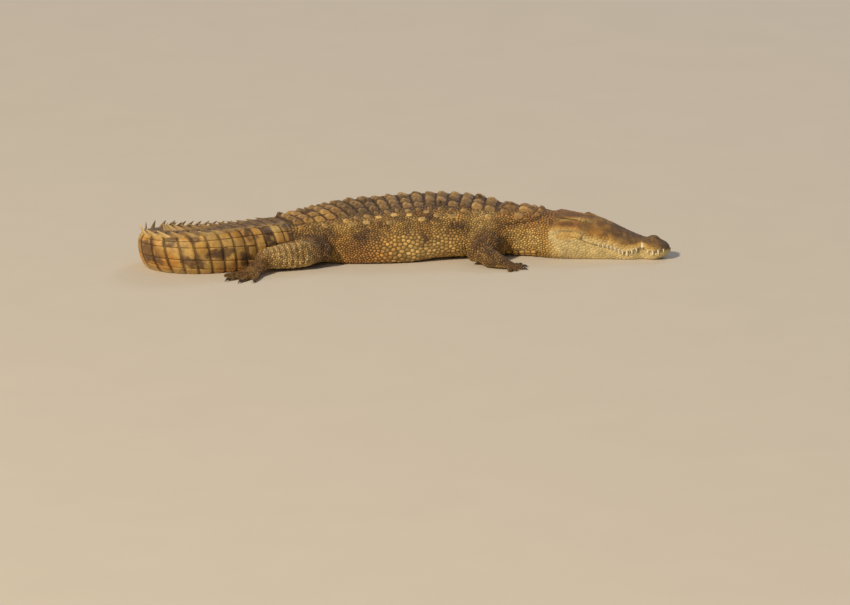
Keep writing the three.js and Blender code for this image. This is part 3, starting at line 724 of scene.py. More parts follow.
def read(items, key, wide=3, kind=float):
    """One value of every item of a mesh, as an array of rows."""
    values = np.empty(len(items) * wide, kind)
    items.foreach_get(key, values)
    return values.reshape(-1, wide)


def triangles(mesh):
    mesh.calc_loop_triangles()
    return read(mesh.loop_triangles, "vertices", 3, int)


def linked(name, data):
    """A new object in the scene that holds this data."""
    made = bpy.data.objects.new(name, data)
    bpy.context.scene.collection.objects.link(made)
    return made


def solid(name, points, faces):
    """A closed mesh from points in mm, turned the right way if its volume says that it is inside out."""
    mesh = bpy.data.meshes.new(name)
    mesh.from_pydata((points * MM).tolist(), [], faces)
    corners = triangles(mesh)
    a, b, c = np.moveaxis(read(mesh.vertices, "co")[corners], 1, 0)
    if (a * np.cross(b, c)).sum() < 0:
        mesh.flip_normals()
    return linked(name, mesh)


def closed_mesh(name, rings, poles=None):
    """A closed mesh through rings of points, with a point at each end: a pole, or the ring's middle."""
    counts = [len(ring) for ring in rings]
    poles = [rings[0].mean(0), rings[-1].mean(0)] if poles is None else poles
    last, total = sum(counts[:-1]), sum(counts)
    faces = ring_faces(counts)
    faces += [[total, k, (k + 1) % counts[0]] for k in range(counts[0])]
    faces += [[total + 1, last + (k + 1) % counts[-1], last + k] for k in range(counts[-1])]
    return solid(name, np.concatenate([*rings, poles]), faces)


# %% The body as a closed mesh
# The rows of the grid that are used: up to which station, every how many rings, every how many columns.
BODY_ROWS = ((JAW_END + 15, 1, 1), (VENT + 20, 2, 2), (2500, 2, 2), (LENGTH + 1, 2, 4))
SNOUT_CAP = ((-3, 0.82), (-5.5, 0.5), (-6.5, 0.2))  # rings before the snout tip, as (s, scale)


def body_rings():
    rings = []
    tip = local[0]
    centre = np.array([0, 0, tip[:, 2].mean()])
    signed = np.stack([tip[:, 0], side_sign * tip[:, 1], tip[:, 2]], -1)
    for s, scale in reversed(SNOUT_CAP):
        small = centre + (signed - centre) * scale
        rings.append(place(np.full(len(small), float(s)), small[:, 1], small[:, 2]))
    start = 0
    for end, row_step, column_step in BODY_ROWS:
        stop = np.searchsorted(stations, end)
        rings += [body_points[i, ::column_step] for i in range(start, stop, row_step)]
        start = stop
    return rings


body_object = closed_mesh("body", body_rings())
print("body:", len(body_object.data.polygons), "faces")

# %% Joining the limbs


def web_mesh(name, corners, thick=5.0):
    """The skin between the toes: a sheet over the outline through the corners."""
    count = len(corners)
    points = np.array([(*corner[:2], thick * share) for share in (0.5, 1.5) for corner in corners])
    faces = [list(range(count - 1, -1, -1)), list(range(count, 2 * count))]
    faces += [[k, (k + 1) % count, count + (k + 1) % count, count + k] for k in range(count)]
    return solid(name, points, faces)


def union(base, others):
    """The base mesh joined with the others, which are then removed."""
    for other in others:
        modifier = base.modifiers.new("join", "BOOLEAN")
        modifier.operation, modifier.solver, modifier.object = "UNION", "MANIFOLD", other
    depsgraph = bpy.context.evaluated_depsgraph_get()
    joined = bpy.data.meshes.new_from_object(base.evaluated_get(depsgraph))
    base.modifiers.clear()
    base.data = joined
    for other in others:
        bpy.data.objects.remove(other)
    return base


def leg_object(name, leg):
    """One closed mesh of a leg's tubes and its web."""
    pieces = [closed_mesh(f"{name}_{part}", list(tube.points)) for part, tube in leg["tubes"].items()]
    if leg["web"]:
        pieces.append(web_mesh(f"{name}_web", leg["web"]))
    return union(pieces[0], pieces[1:])


leg_objects = [leg_object(name, leg) for name, leg in legs.items()]
skin = union(body_object, leg_objects)
skin.name = skin.data.name = "skin"
print("skin:", len(skin.data.vertices), "points")

# %% [markdown]
# ### Soft valleys between leg and body
#
# New points appear where two meshes crossed. They mark the valleys. Each round of smoothing moves a point
# towards the mean of its neighbours, weighted by how near a valley it is. Toes are thin, so the weighting
# reaches less far on the feet.

# %% Smoothing the union
VALLEY_REACH, FOOT_REACH = 46.0, 9.0
SMOOTHING_ROUNDS = 60


def tree_of(points):
    tree = KDTree(len(points))
    for i, point in enumerate(points):
        tree.insert(point, i)
    tree.balance()
    return tree


def nearest(tree, points):
    """The number of the tree's point nearest to each of these, and how far off it is."""
    found = [tree.find(point)[1:] for point in points]
    return np.array([index for index, _ in found]), np.array([far for _, far in found])


all_tubes = {"body": body}
for leg_name, leg in legs.items():
    all_tubes.update({f"{leg_name}_{part}": tube for part, tube in leg["tubes"].items()})
tubes = list(all_tubes.values())
known_address = np.concatenate([tube.addresses() for tube in tubes])
known_tube = np.repeat(np.arange(len(tubes)), [tube.points[..., 0].size for tube in tubes])
known_tree = tree_of(np.concatenate([tube.points.reshape(-1, 3) for tube in tubes]))

raw = read(skin.data.vertices, "co") / MM
skin_source, distance_to_known = nearest(known_tree, raw)
skin_tube, skin_address = known_tube[skin_source], known_address[skin_source]
skin_along, skin_around = skin_address.T
caps = tree_of(np.concatenate([[tube.points[0].mean(0), tube.points[-1].mean(0)] for tube in tubes]))
crossed = (distance_to_known > 0.02) & (nearest(caps, raw)[1] > 0.5)
to_valley = nearest(tree_of(raw[crossed]), raw)[1]
foot_middles = np.array([joints[3] for _, joints, _ in LEGS.values()], float)
foot_sizes = np.array([0.62 * max(toe[1] for toe in toes) + 60 for _, _, toes in LEGS.values()])
on_foot = fade((length(raw[:, None] - foot_middles) / foot_sizes).min(1), 1.4, 0.9)
reach = VALLEY_REACH + (FOOT_REACH - VALLEY_REACH) * on_foot
pull = 0.6 * fade(to_valley, reach, 0.15 * reach)
pull[(raw[:, 0] > 700) | ((skin_tube == 0) & (skin_along > 3200))] = 0  # head and tail tip stay sharp

edges = read(skin.data.edges, "vertices", 2, int)
ends, others = np.concatenate([edges, edges[:, ::-1]]).T
neighbours = np.bincount(ends, minlength=len(raw))


def mean_of_neighbours(values):
    return np.bincount(ends, values[others], len(raw)) / neighbours


smooth = raw.copy()
for _ in range(SMOOTHING_ROUNDS):
    mean = np.stack([mean_of_neighbours(smooth[:, c]) for c in range(3)], 1)
    smooth += pull[:, None] * (mean - smooth)
smooth[:, 2] = np.maximum(smooth[:, 2], 0.6)
skin.data.vertices.foreach_set("co", (smooth * MM).ravel())
shift = smooth - raw
moved = length(shift) > 0.2
shift_tree = tree_of(raw[moved])
moved_shift = shift[moved]
print("crossings:", int(crossed.sum()), "points moved:", int(moved.sum()))
print("the farthest moved", round(float(length(shift).max()), 1), "mm")


def carried(points, reach=30):
    """How far the skin near each point was moved by the smoothing."""
    result = np.zeros((len(points), 3))
    for i, point in enumerate(points):
        near = shift_tree.find_n(point, 4)
        if near[0][2] < reach:
            weights = np.array([1 / (found[2] + 1) for found in near])
            result[i] = weights @ moved_shift[[found[1] for found in near]] / weights.sum()
    return result


# %% [markdown]
# ## Markings
#
# Skin and scales have to agree on the pattern, so it is worked out once, from a place's address. Five shares
# describe it: how much the place belongs to the dark back, to a blotch and to painted shade in folds, to the
# cream of jaw and belly, to the rusty brown of neck and skull, and to the umber of the legs. Lumpy noise
# breaks them up, and it is held to where the marks lie on this animal: blotches on the upper flank, odd
# patches on the thick of the tail and every third ring behind them, a yellow leaf in the cheek, a dark knee
# that is partly painted shade, pale bands down the shank, and painted shade along the folds of nape and
# shoulder.

# %% Where each colour lies
WHORLS = {"count": 36, "from": VENT + 6, "first": 50, "shrink": 0.42, "doubled": 18, "slant": 0.28}
DARK_WHORLS = (14, 17, 20, 23, 26, 29, 32, 35)
# Patches on the thick part of the tail: whorl, share of the way up, and how far they reach in both.
TAIL_PATCHES = (
    (2.7, 0.55, 0.62, 0.35), (7.2, 0.50, 1.1, 0.08), (9.3, 0.36, 0.8, 0.10), (8.8, 0.74, 0.5, 0.10),
    (10.7, 0.70, 0.5, 0.12), (5.2, 0.40, 0.5, 0.08), (12.4, 0.48, 0.6, 0.16), (0.2, 0.6, 0.5, 0.3),
    (11.6, 0.34, 0.4, 0.06), (4.4, 0.72, 0.5, 0.08),
)
SHIELD_EDGE = 0.76  # share of the way up the side at which the back's dark shield ends
# Blotches of the flank, in the same order: s, share of the way up, reach along and reach up.
BLOTCHES = (
    (1305, 0.66, 34, 0.05), (1037, 0.68, 34, 0.05), (1060, 0.53, 30, 0.04), (1440, 0.62, 40, 0.06),
    (905, 0.60, 40, 0.05), (1190, 0.63, 26, 0.05), (1560, 0.55, 45, 0.07), (800, 0.56, 30, 0.06),
)
CHEEK = {"s": 420, "height": 106, "long": 56, "high": 16}  # the yellow leaf behind the corner of the mouth
BROW_LINE = ((300, 366, 480), (149, 167, 162))  # stations and heights of the pale line over the eye
MASKS = ("back", "dark", "cream", "rust", "leg")


def whorl_start(k):
    return WHORLS["from"] + WHORLS["first"] * k - WHORLS["shrink"] * k * (k - 1) / 2


WHORL_STARTS = whorl_start(np.arange(WHORLS["count"] + 1))


def slant(s, around):
    """How far forward of its ring's top a tail scale stands."""
    return WHORLS["slant"] * top(s) * (0.9 - side_share(around)) * fade(s, VENT - 60, VENT + 200)


def patches(x, up, spots):
    """The sum of soft ovals, each at its own place along and up."""
    return sum(bump_at(x, at, along) * bump_at(up, high, tall) for at, high, along, tall in spots)


# %% Marks of head, trunk and tail


def tail_marks(s, around, up, coarse, fine):
    """The blotches of the tail: dark rings, a faint chequer between them, and patches."""
    ring_at = s + slant(s, around)
    whorl = np.clip(np.searchsorted(WHORL_STARTS, ring_at, side="right") - 1, 0, WHORLS["count"] - 1)
    banded = np.isin(whorl, DARK_WHORLS) * fade(up, 0.30, 0.42)
    checks = np.stack([whorl * 40.0, up * 160, np.sign(around - 0.5) * 50], -1)
    checks = fade(lumps(checks, 37, 31), 0.55, 0.7) * (1 - banded)
    ring = np.interp(ring_at, WHORL_STARTS, np.arange(len(WHORL_STARTS)))
    patched = fade(patches(ring, up, TAIL_PATCHES) + 0.9 * (fine - 0.5), 0.25, 0.6)
    return 0.62 * banded * fade(coarse, 0.2, 0.5) + 0.2 * checks + 0.85 * patched


def cheek_leaf(s, height):
    """The yellow leaf in the cheek and its darker rim, which is strongest above and at the front end."""
    behind, above = s - CHEEK["s"], height - CHEEK["height"]
    at = np.hypot(behind / CHEEK["long"], above / CHEEK["high"])
    rim = bump_at(at, 1.2, 0.2) * (0.15 + 0.5 * fade(above, -4, 14))
    rim += 0.8 * bump_at(np.hypot(behind + CHEEK["long"], above + 4), 0, 8)
    return fade(at, 1.05, 0.85), rim


def body_marks(address, points):
    """The five shares on head, trunk and tail. Numbers beside s are stations, those beside up are shares."""
    s, around, height = address[..., 0], address[..., 1], points[..., 2]
    up = side_share(around)
    coarse, fine = lumps(points, 62, 21), lumps(points, 21, 23)
    mottle = 0.6 * coarse + 0.4 * fine
    on_head, on_neck = fade(s, 545, 490), window(s, 490, 560, 730, 800)
    on_trunk, on_tail = window(s, 720, 800, 1700, 1760), fade(s, 1700, 1760)
    shoulder = bump_at(s, 795, 62) * bump_at(up, 0.64, 0.2)
    leaf, leaf_rim = cheek_leaf(s, height)
    brow_line = bump_at(height, np.interp(s, *BROW_LINE), 7) * (up < 0.9) * window(s, 300, 340, 470, 500)

    edge = SHIELD_EDGE + 0.10 * (mottle - 0.5)
    back = on_trunk * fade(up, edge - 0.06, edge + 0.05) * (1 - 0.45 * fade(s, 1380, 1560))
    back += on_tail * (fade(up, 0.76, 0.90) * 0.9 + 0.22 * fade(fine, 0.35, 0.7))
    back += on_neck * fade(up, 0.74, 0.92) * 0.75
    back += on_head * fade(up, 0.62, 0.74) * (0.5 + 0.45 * fade(s, 330, 40))
    back = np.maximum(back, fade(s, 70, 30) * fade(up, 0.42, 0.56))
    back *= (1 - 0.7 * shoulder) * (1 - 0.5 * fade(s, 60, 25)) * (1 - 0.8 * brow_line)

    upper_flank = on_trunk * fade(up, 0.40, 0.62) * fade(mottle, 0.38, 0.62) * (1 - shoulder)
    dark = 0.62 * upper_flank + 1.2 * on_trunk * patches(s, up, BLOTCHES) * fade(fine, 0.2, 0.6)
    dark += on_tail * tail_marks(s, around, up, coarse, fine)
    dark += on_head * 0.6 * fade(0.5 * coarse + 0.5 * fine, 0.48, 0.62) * fade(up, 0.56, 0.66)
    dark += 0.8 * fade(s, 60, 15) * fade(up, 0.42, 0.56) + 0.4 * fade(up, 0.6, 0.72) * fade(s, 300, 200)
    dark = np.maximum(dark, on_head * leaf_rim) * (1 - leaf)
    # Painted shade along the fold of the nape and in the folds before the shoulder.
    dark += 0.8 * bump_at(above_nape_fold(s, height), 0, 8) * window(s, 515, 560, 690, 745)
    for at, deep, lean in SHOULDER_FOLDS:
        behind, here = before_fold(s, height, at, lean)
        dark += 0.11 * deep * bump_at(behind, 0, 8) * here

    jaw_edge = np.interp(height, *JAW_EDGE) + 14 * (fine - 0.5)
    cream = fade(s, jaw_edge + 8, jaw_edge - 8) * fade(up, 0.58, 0.50)
    cream += 0.6 * fade(s, 520, 480) * fade(up, 0.63, 0.56) * fade(s, 60, 160)
    cream += 0.6 * fade(up, 0.22, 0.10) + on_tail * 0.3 * fade(coarse, 0.65, 0.35)
    cream += on_trunk * 0.4 * bump_at(s, 1060, 230) * bump_at(up, 0.42, 0.16) + 0.45 * shoulder
    cream += on_neck * 0.35 * fade(fine, 0.35, 0.65) * fade(up, 0.66, 0.5)
    cream = np.maximum(cream * (1 - 0.85 * leaf), 0.6 * brow_line)

    rust = on_neck * fade(up, 0.5, 0.66) * 0.6 + on_tail * 0.45 * fade(coarse, 0.5, 0.75)
    rust += 0.8 * bump_at(s, 1430, 130) * bump_at(up, 0.42, 0.16) * on_trunk
    rust += on_head * (0.35 + 0.65 * fade(s, 330, 400)) * fade(up, 0.60, 0.68) * (1 - brow_line)
    return {"back": back, "dark": dark, "cream": cream, "rust": rust * (1 - leaf), "leg": 0 * s}


# %% Marks of the legs


def leg_marks(name, address, points):
    """The five shares on a leg: umber above, paler below, dark at the hind knee, partly painted shade, pale
    bands on the shank.
    """
    along, up = address[..., 0], 0.5 + 0.5 * np.sin(2 * np.pi * address[..., 1])
    leg = next(each for each in LEGS if name.startswith(each))
    hind = leg.startswith("hind")
    shank = hind and name.endswith("lower")
    # The dark round the hind knee is partly the leg's own dark patch and partly painted shade where knee and
    # flank meet.
    knee = hind * fade(length(points - np.array(LEGS[leg][1][1], float)), 95, 35)
    mottle = lumps(points, 28, 41)
    bands = shank * (0.5 + 0.5 * np.cos(2 * np.pi * along / SHANK_FOLDS)) * fade(mottle, 0.25, 0.6)
    bands = bands * window(along, 10, 60, 230, 300)
    umber = 0.35 + 0.65 * fade(up + 0.5 * (mottle - 0.5), 0.12, 0.5)
    umber = umber * (1 - 0.35 * fade(lumps(points, 15, 43), 0.5, 0.75))
    return {
        "dark": 0.5 * fade(up, 0.4, 0.9) * fade(mottle, 0.3, 0.7) * (1 - bands) + 0.75 * knee,
        "cream": 0.2 * fade(up, 0.3, 0) + shank * (0.3 + 0.45 * bands),
        "leg": umber * (1 - 0.8 * bands) - 0.25 * shank, "back": 0 * up, "rust": 0 * up,
    }


def marks_of(name, address, points):
    found = body_marks(address, points) if name == "body" else leg_marks(name, address, points)
    return {mask: np.clip(found[mask], 0, 1) for mask in MASKS}


# %% Giving the skin its attributes


def give(mesh, name, values):
    """Stores one number, or one vector, for each point of a mesh."""
    values = np.asarray(values, np.float32)
    kind, key = ("FLOAT_VECTOR", "vector") if values.ndim == 2 else ("FLOAT", "value")
    mesh.attributes.new(name, kind, "POINT").data.foreach_set(key, values.ravel())


skin_marks = {mask: np.zeros(len(raw)) for mask in MASKS}
for index, tube_name in enumerate(all_tubes):
    here = skin_tube == index
    for mask, share in marks_of(tube_name, skin_address[here], smooth[here]).items():
        skin_marks[mask][here] = share
for _ in range(4):  # colours run softly across the valleys
    for share in skin_marks.values():
        share += np.where(to_valley < 25, 0.8, 0.2) * (mean_of_neighbours(share) - share)
known_hollow = np.zeros(len(known_address))
known_hollow[: hollow.size] = hollow.ravel()
skin_values = {
    # The hollow share is painted shade in nostrils, ear slits and lid slits.
    **skin_marks, "hollow": known_hollow[skin_source] * (distance_to_known < 0.5),
    # The bare skin between the scales gets the full crease: painted shade with some dirt. The skin on the
    # head's bone gets none.
    "crease": 1 - np.where(skin_tube == 0, fade(skin_along, 520, 470), 0),
    "tone": np.full(len(raw), 0.5), "ridge": np.zeros(len(raw)),
}
for key, values in skin_values.items():
    give(skin.data, key, values)
skin.data.shade_smooth()
print("skin faces:", len(skin.data.polygons))

# %% [markdown]
# ## Shader arithmetic
#
# Materials are written as sums. A Value wraps a socket, and +, -, * and ** on it add Math nodes. Every other
# node comes from Tree.node, which takes the node's type, its settings and what goes into its sockets.

# %% Values


class Value:
    """An output socket of a tree, with arithmetic."""

    def __init__(self, tree, socket):
        self.tree, self.socket = tree, socket

    def math(self, operation, *values):
        return self.tree.node("ShaderNodeMath", {"operation": operation}, dict(enumerate(values)))


for sign, operation in (("add", "ADD"), ("sub", "SUBTRACT"), ("mul", "MULTIPLY"), ("pow", "POWER")):
    setattr(Value, f"__{sign}__", lambda one, other, does=operation: one.math(does, one, other))
    setattr(Value, f"__r{sign}__", lambda one, other, does=operation: one.math(does, other, one))


# %% Node trees and shaders


class Tree:
    """A node tree to which nodes are added by their type, settings and sockets."""

    def node(self, kind, settings=None, sockets=None, out=0):
        node = self.tree.nodes.new(kind)
        for setting, value in (settings or {}).items():
            setattr(node, setting, value)
        for socket, value in (sockets or {}).items():
            self.plug(value, node.inputs[socket])
        return Value(self, node.outputs[out])

    def plug(self, value, socket):
        if isinstance(value, Value):
            self.tree.links.new(value.socket, socket)
        else:
            socket.default_value = value


class Shader(Tree):
    """A material with one Principled surface and an output."""

    def __init__(self, name, **constants):
        self.material = bpy.data.materials.new(name)
        self.material.use_nodes = True
        self.tree = self.material.node_tree
        self.tree.nodes.clear()
        self.surface = self.tree.nodes.new("ShaderNodeBsdfPrincipled")
        for socket, value in constants.items():
            self.surface.inputs[socket.replace("_", " ")].default_value = value
        output = self.tree.nodes.new("ShaderNodeOutputMaterial")
        self.tree.links.new(self.surface.outputs[0], output.inputs["Surface"])

    def attribute(self, name):
        return self.node("ShaderNodeAttribute", {"attribute_name": name}, out="Fac")

    def place(self):
        return self.node("ShaderNodeTexCoord", out="Object")

    def noise(self, scale, detail=3):
        sockets = {"Vector": self.place(), "Scale": scale, "Detail": detail}
        return self.node("ShaderNodeTexNoise", None, sockets)

    def cells(self, scale, feature="DISTANCE_TO_EDGE"):
        sockets = {"Vector": self.place(), "Scale": scale}
        return self.node("ShaderNodeTexVoronoi", {"feature": feature}, sockets, out="Distance")

    def ramp(self, value, start, end):
        """0 below start and 1 above end."""
        sockets = {"Value": value, "From Min": start, "From Max": end}
        return self.node("ShaderNodeMapRange", {"interpolation_type": "SMOOTHSTEP"}, sockets)

    def mix(self, share, first, second):
        return self.node("ShaderNodeMix", {"data_type": "RGBA"}, {0: share, 6: first, 7: second}, out=2)

    def shade(self, colour, amount):
        """A colour made lighter or darker by a value round 1."""
        sockets = {0: colour if isinstance(colour, Value) else colour[:3], "Scale": amount}
        return self.node("ShaderNodeVectorMath", {"operation": "SCALE"}, sockets)

    def finish(self, colour, roughness, height=None, distance=0.001, strength=1.0):
        self.plug(colour, self.surface.inputs["Base Color"])
        self.plug(roughness, self.surface.inputs["Roughness"])
        if height is not None:
            sockets = {"Height": height, "Distance": distance, "Strength": strength}
            self.plug(self.node("ShaderNodeBump", None, sockets), self.surface.inputs["Normal"])
        return self.material


def colour(red, green, blue):
    """A colour given as it looks on a screen, 0 to 255, as Blender's linear one."""
    share = np.array([red, green, blue]) / 255
    linear = np.where(share > 0.04045, ((share + 0.055) / 1.055) ** 2.4, share / 12.92)
    return (*linear.tolist(), 1.0)


# %% [markdown]
# ## The hide
#
# One recipe serves skin and scales. It lays the five shares over each other, paints the keels pale, a painted
# highlight as well as wear, and dusts everything with the fine mottling of dried mud. Then it lets each scale
# differ in tone, makes the ground uneven in two sizes of noise, and darkens the creases between scales with
# painted shade and some dirt, though less on the pale jaw, and nostrils, ear slits and lid slits with
# near-black
# painted shade. Only its settings differ: scales are smooth horn, the plates of the back are rough and very
# uneven, and the skin between them is dull and finely cracked.

# %% Hide colours and recipe
OCHRE, STRAW = colour(186, 136, 58), colour(200, 160, 84)  # the ground colour wanders between these
# The blotch colour also paints shade in the folds of nape and shoulder and round the hind knee.
BACK, BLOTCH_AND_SHADE, CREAM = colour(106, 83, 58), colour(84, 60, 40), colour(208, 185, 128)
# The crease colour is painted shade with some dirt, for the creases between scales and the skin's fine
# cracks.
RUST, UMBER, CREASE_SHADE_AND_DIRT = colour(160, 108, 56), colour(106, 77, 44), colour(56, 37, 20)
# Pitch is painted shade, near black, for nostrils, ear slits and lid slits.
# The dust colour is dried mud, and on the keels of the plates and on the crest blades it is also a painted
# highlight.
PALE_DUST_AND_HIGHLIGHT, HOLLOW_SHADE = colour(186, 156, 106), colour(28, 20, 14)
PIT_SCALE = 230  # pits to the metre on the bony plates
SCALE_VALUES = ("crease", "tone", "ridge", "hollow")  # what a mesh says of each point besides the masks


def hide(name, roughness=0.62, crease=0.75, cracks=0.0, grain=260, pits=0.0, uneven=1.0):
    shader = Shader(name, Specular_IOR_Level=0.35)
    mask = {each: shader.attribute(each) for each in (*MASKS, *SCALE_VALUES)}
    large, patchy = shader.noise(9), shader.noise(30)
    small, dust = shader.noise(70, 4), shader.noise(grain, 2)
    tint = shader.mix(shader.ramp(large, 0.35, 0.65), OCHRE, STRAW)
    tint = shader.mix(mask["cream"], tint, CREAM)
    tint = shader.mix(mask["rust"] * shader.ramp(small, 0.2, 0.55), tint, RUST)
    tint = shader.mix(mask["leg"] * (0.5 + 0.5 * shader.ramp(small, 0.3, 0.55)), tint, UMBER)
    # Blotches, and painted shade in the folds and round the hind knee.
    tint = shader.mix(mask["dark"] * shader.ramp(patchy, 0.2, 0.5), tint, BLOTCH_AND_SHADE)
    tint = shader.mix(mask["back"] * (0.78 + 0.22 * shader.ramp(patchy, 0.4, 0.6)), tint, BACK)
    # The keels and crest blades paled: a painted highlight, partly wear.
    tint = shader.mix(mask["ridge"] * 0.55, tint, PALE_DUST_AND_HIGHLIGHT)
    tint = shader.mix(shader.ramp(dust + small, 1.05, 1.5) * 0.3, tint, PALE_DUST_AND_HIGHLIGHT)
    mottling = 0.9 * (small - 0.5) + 0.8 * (patchy - 0.5)
    tint = shader.shade(tint, 0.70 + 0.6 * mask["tone"] + uneven * mottling)
    # Painted shade with some dirt in the creases round each scale and on the bare skin, weaker on the cream
    # of the jaw.
    tint = shader.mix(mask["crease"] * crease * (1 - 0.85 * mask["cream"]), tint, CREASE_SHADE_AND_DIRT)
    # Near-black painted shade in nostrils, ear slits and lid slits.
    tint = shader.mix(mask["hollow"] * 0.85, tint, HOLLOW_SHADE)
    height = 0.6 * dust + small
    if cracks:
        crack = shader.ramp(shader.cells(cracks), 0.0, 0.09)
        # Painted shade with some dirt in the fine cracks of the skin.
        tint = shader.mix((1 - crack) * 0.34 * (1 - mask["crease"]), tint, CREASE_SHADE_AND_DIRT)
        height = height + crack
    if pits:
        height = height + pits * shader.ramp(shader.cells(PIT_SCALE, "F1"), 0.1, 0.5)
    return shader.finish(tint, roughness + 0.25 * (dust - 0.5), height, 0.0012, 0.5)


SKIN_HIDE = hide("hide between the scales", roughness=0.75, crease=0.8, cracks=120, pits=0.6, uneven=0.8)
SCALE_HIDE = hide("horny scales", roughness=0.5, crease=0.85)
SHIELD_HIDE = hide("keeled back plates", roughness=0.62, crease=0.9, pits=0.9, uneven=1.6)
skin.data.materials.clear()
skin.data.materials.append(SKIN_HIDE)
skin.data.polygons.foreach_set("material_index", np.zeros(len(skin.data.polygons), int))
print("materials:", [m.name for m in bpy.data.materials])

# %% [markdown]
# ## Laying scales
#
# A scale is a low dome whose rim is sunk in the skin. All the scales of a batch share one pattern of rings:
# the rim, one or two rings inside it and a middle point, closed by a flat bottom. Each scale only brings its
# own outline, as addresses on the tube. So thousands of them are worked out at once, and each follows the
# curve of the body. The colour shares are read at a scale's middle, so that a scale has one colour. Only the
# tall tiles of the tail read them at every point, because a dark patch ends in the middle of one.

# %% The dome pattern


def dome_pattern(sides, reaches):
    """Ring reaches, angles and faces of a dome with this many sides. The last point is the bottom one."""
    rings = len(reaches)
    reach = np.concatenate([np.repeat(reaches, sides), [0, 0]])
    side = np.concatenate([np.tile(np.arange(sides), rings), [0, 0]])
    crown, base, last = rings * sides, rings * sides + 1, (rings - 1) * sides
    steps = [(k, (k + 1) % sides) for k in range(sides)]
    faces = []
    for first in range(0, last, sides):
        for k, then in steps:
            a, b = first + k, first + then
            faces += [(a, b, b + sides), (a, b + sides, a + sides)]
    for k, then in steps:
        faces += [(last + k, last + then, crown), (then, k, base)]
    return reach, side, np.array(faces)


SUNK = 1.6  # how far a rim reaches under the skin
# The dark of a crease is painted shade with some dirt.
CREASE_FROM, FINE_CREASE_FROM = 0.72, 0.87  # where the dark of the crease begins, as shares of the reach
FINE_REACHES = (1, 0.93, 0.8, 0.6, 0.38, 0.18)  # the rings of a large bony plate
DOME_POWER = 2.6
TILE_TONES, PLATE_TONES = 0.5, 1.7  # how much scales differ in tone


def dome_on(sides, reaches, crease_from=CREASE_FROM):
    """A dome's pattern with its height, crease and patch on the unwrap at each point."""
    reach, side, faces = dome_pattern(sides, np.array(reaches, float))
    angle = angles(sides)[side]
    patch = np.stack([reach * np.cos(angle), reach * np.sin(angle)], -1)
    crease = np.clip((reach - crease_from) / (1 - crease_from), 0, 1)
    return reach, side, faces, 1 - reach**DOME_POWER, crease, patch


# %% Laying a batch of scales


def lay(middle, rim, high, reaches=FINE_REACHES, keel=None, ridge_wide=0.3, barrel=False, rough=0.0):
    """Scales on the body: middles (n, 2) and rims (n, sides, 2) as addresses, heights and keel heights."""
    crease_from = FINE_CREASE_FROM if len(reaches) == len(FINE_REACHES) else CREASE_FROM
    reach, side, faces, dome, crease, patch = dome_on(rim.shape[1], reaches, crease_from)
    x, y = patch.T
    address = middle[:, None] + (rim[:, side] - middle[:, None]) * reach[None, :, None]
    ground, root = body.at(address), body.at(middle)
    if barrel:
        angle = angles(rim.shape[1])[side]
        bent_x, bent_y = (np.abs(signed_power(c, 0.45)) * reach for c in (np.cos(angle), np.sin(angle)))
        dome = (1 - 0.95 * bent_x**3.2) * (1 - 0.6 * bent_y**8) * (reach < 0.99)
        # The dark at both ends of a tail tile, where one ring meets the next, is painted shade with some
        # dirt.
        crease = np.clip((bent_x - 0.76) / 0.2, 0, 1) + 0.06 * np.clip((bent_y - 0.88) / 0.12, 0, 1)
        crease = np.minimum(crease, 1)
    dome[-1] = 0
    lift = high[:, None] * dome - SUNK * (reach > 0.99)
    if rough:
        bumpy = lumps(ground, 13, 61) + 0.6 * lumps(ground, 6, 62) - 0.8
        lift = lift + rough * bumpy * (reach < 0.9) * (np.arange(len(reach)) < len(reach) - 1)
    # The keel's line raises the keel, and the hide paints it pale: a painted highlight, partly wear.
    ridge = np.clip(1 - np.abs(y) / ridge_wide, 0, 1) * fade(x, -1.3, 0.55) * (1 - reach**6)
    ridge[-1] = 0
    if keel is not None:
        lift = lift + keel[:, None] * ridge
    lift[:, -1] = -SUNK
    points = body.at(address, lift) + carried(root)[:, None]
    points[..., 2] = np.maximum(points[..., 2], 0)
    a, b, c = np.moveaxis((points - root[:, None])[:, faces], 2, 0)
    if (a * np.cross(b, c)).sum() < 0:
        faces = faces[:, ::-1]
    return {
        "points": points, "faces": faces, "home": body.unwrap(middle), "patch": patch, "crease": crease,
        "marks": marks_of("body", address, ground) if barrel else marks_of("body", middle, root),
        "tones": TILE_TONES if barrel else PLATE_TONES, "ridge": ridge * (keel is not None),
    }


# %% One piece from batches of scales
PATCH = 0.0015  # half the width of a scale's patch on the unwrap


def batch_piece(name, batches, material, slot):
    """One mesh of all the scales of some batches, with their attributes and the OFBake map."""
    points, faces, uvs, first = [], [], [], 0
    values = {key: [] for key in (*MASKS, *SCALE_VALUES)}
    for batch in batches:
        count, size = batch["points"].shape[:2]
        starts = first + size * np.arange(count)
        points.append(batch["points"].reshape(-1, 3))
        faces.append((batch["faces"][None] + starts[:, None, None]).reshape(-1, 3))
        uvs.append((batch["home"][:, None] + PATCH * batch["patch"][None]).reshape(-1, 2))
        shares = {
            **batch["marks"], "crease": batch["crease"][None], "ridge": batch["ridge"][None],
            "hollow": np.zeros((1, 1)), "tone": 0.5 + batch["tones"] * rng.uniform(-0.5, 0.5, count),
        }
        for key, share in shares.items():  # one for each scale, one for each point of a scale, or both
            share = share[:, None] if share.ndim == 1 else share
            values[key].append(np.broadcast_to(share, (count, size)).ravel())
        first += count * size
    values = {key: np.concatenate(value) for key, value in values.items()}
    mesh_piece(name, *map(np.concatenate, (points, faces, uvs)), values, material, slot)


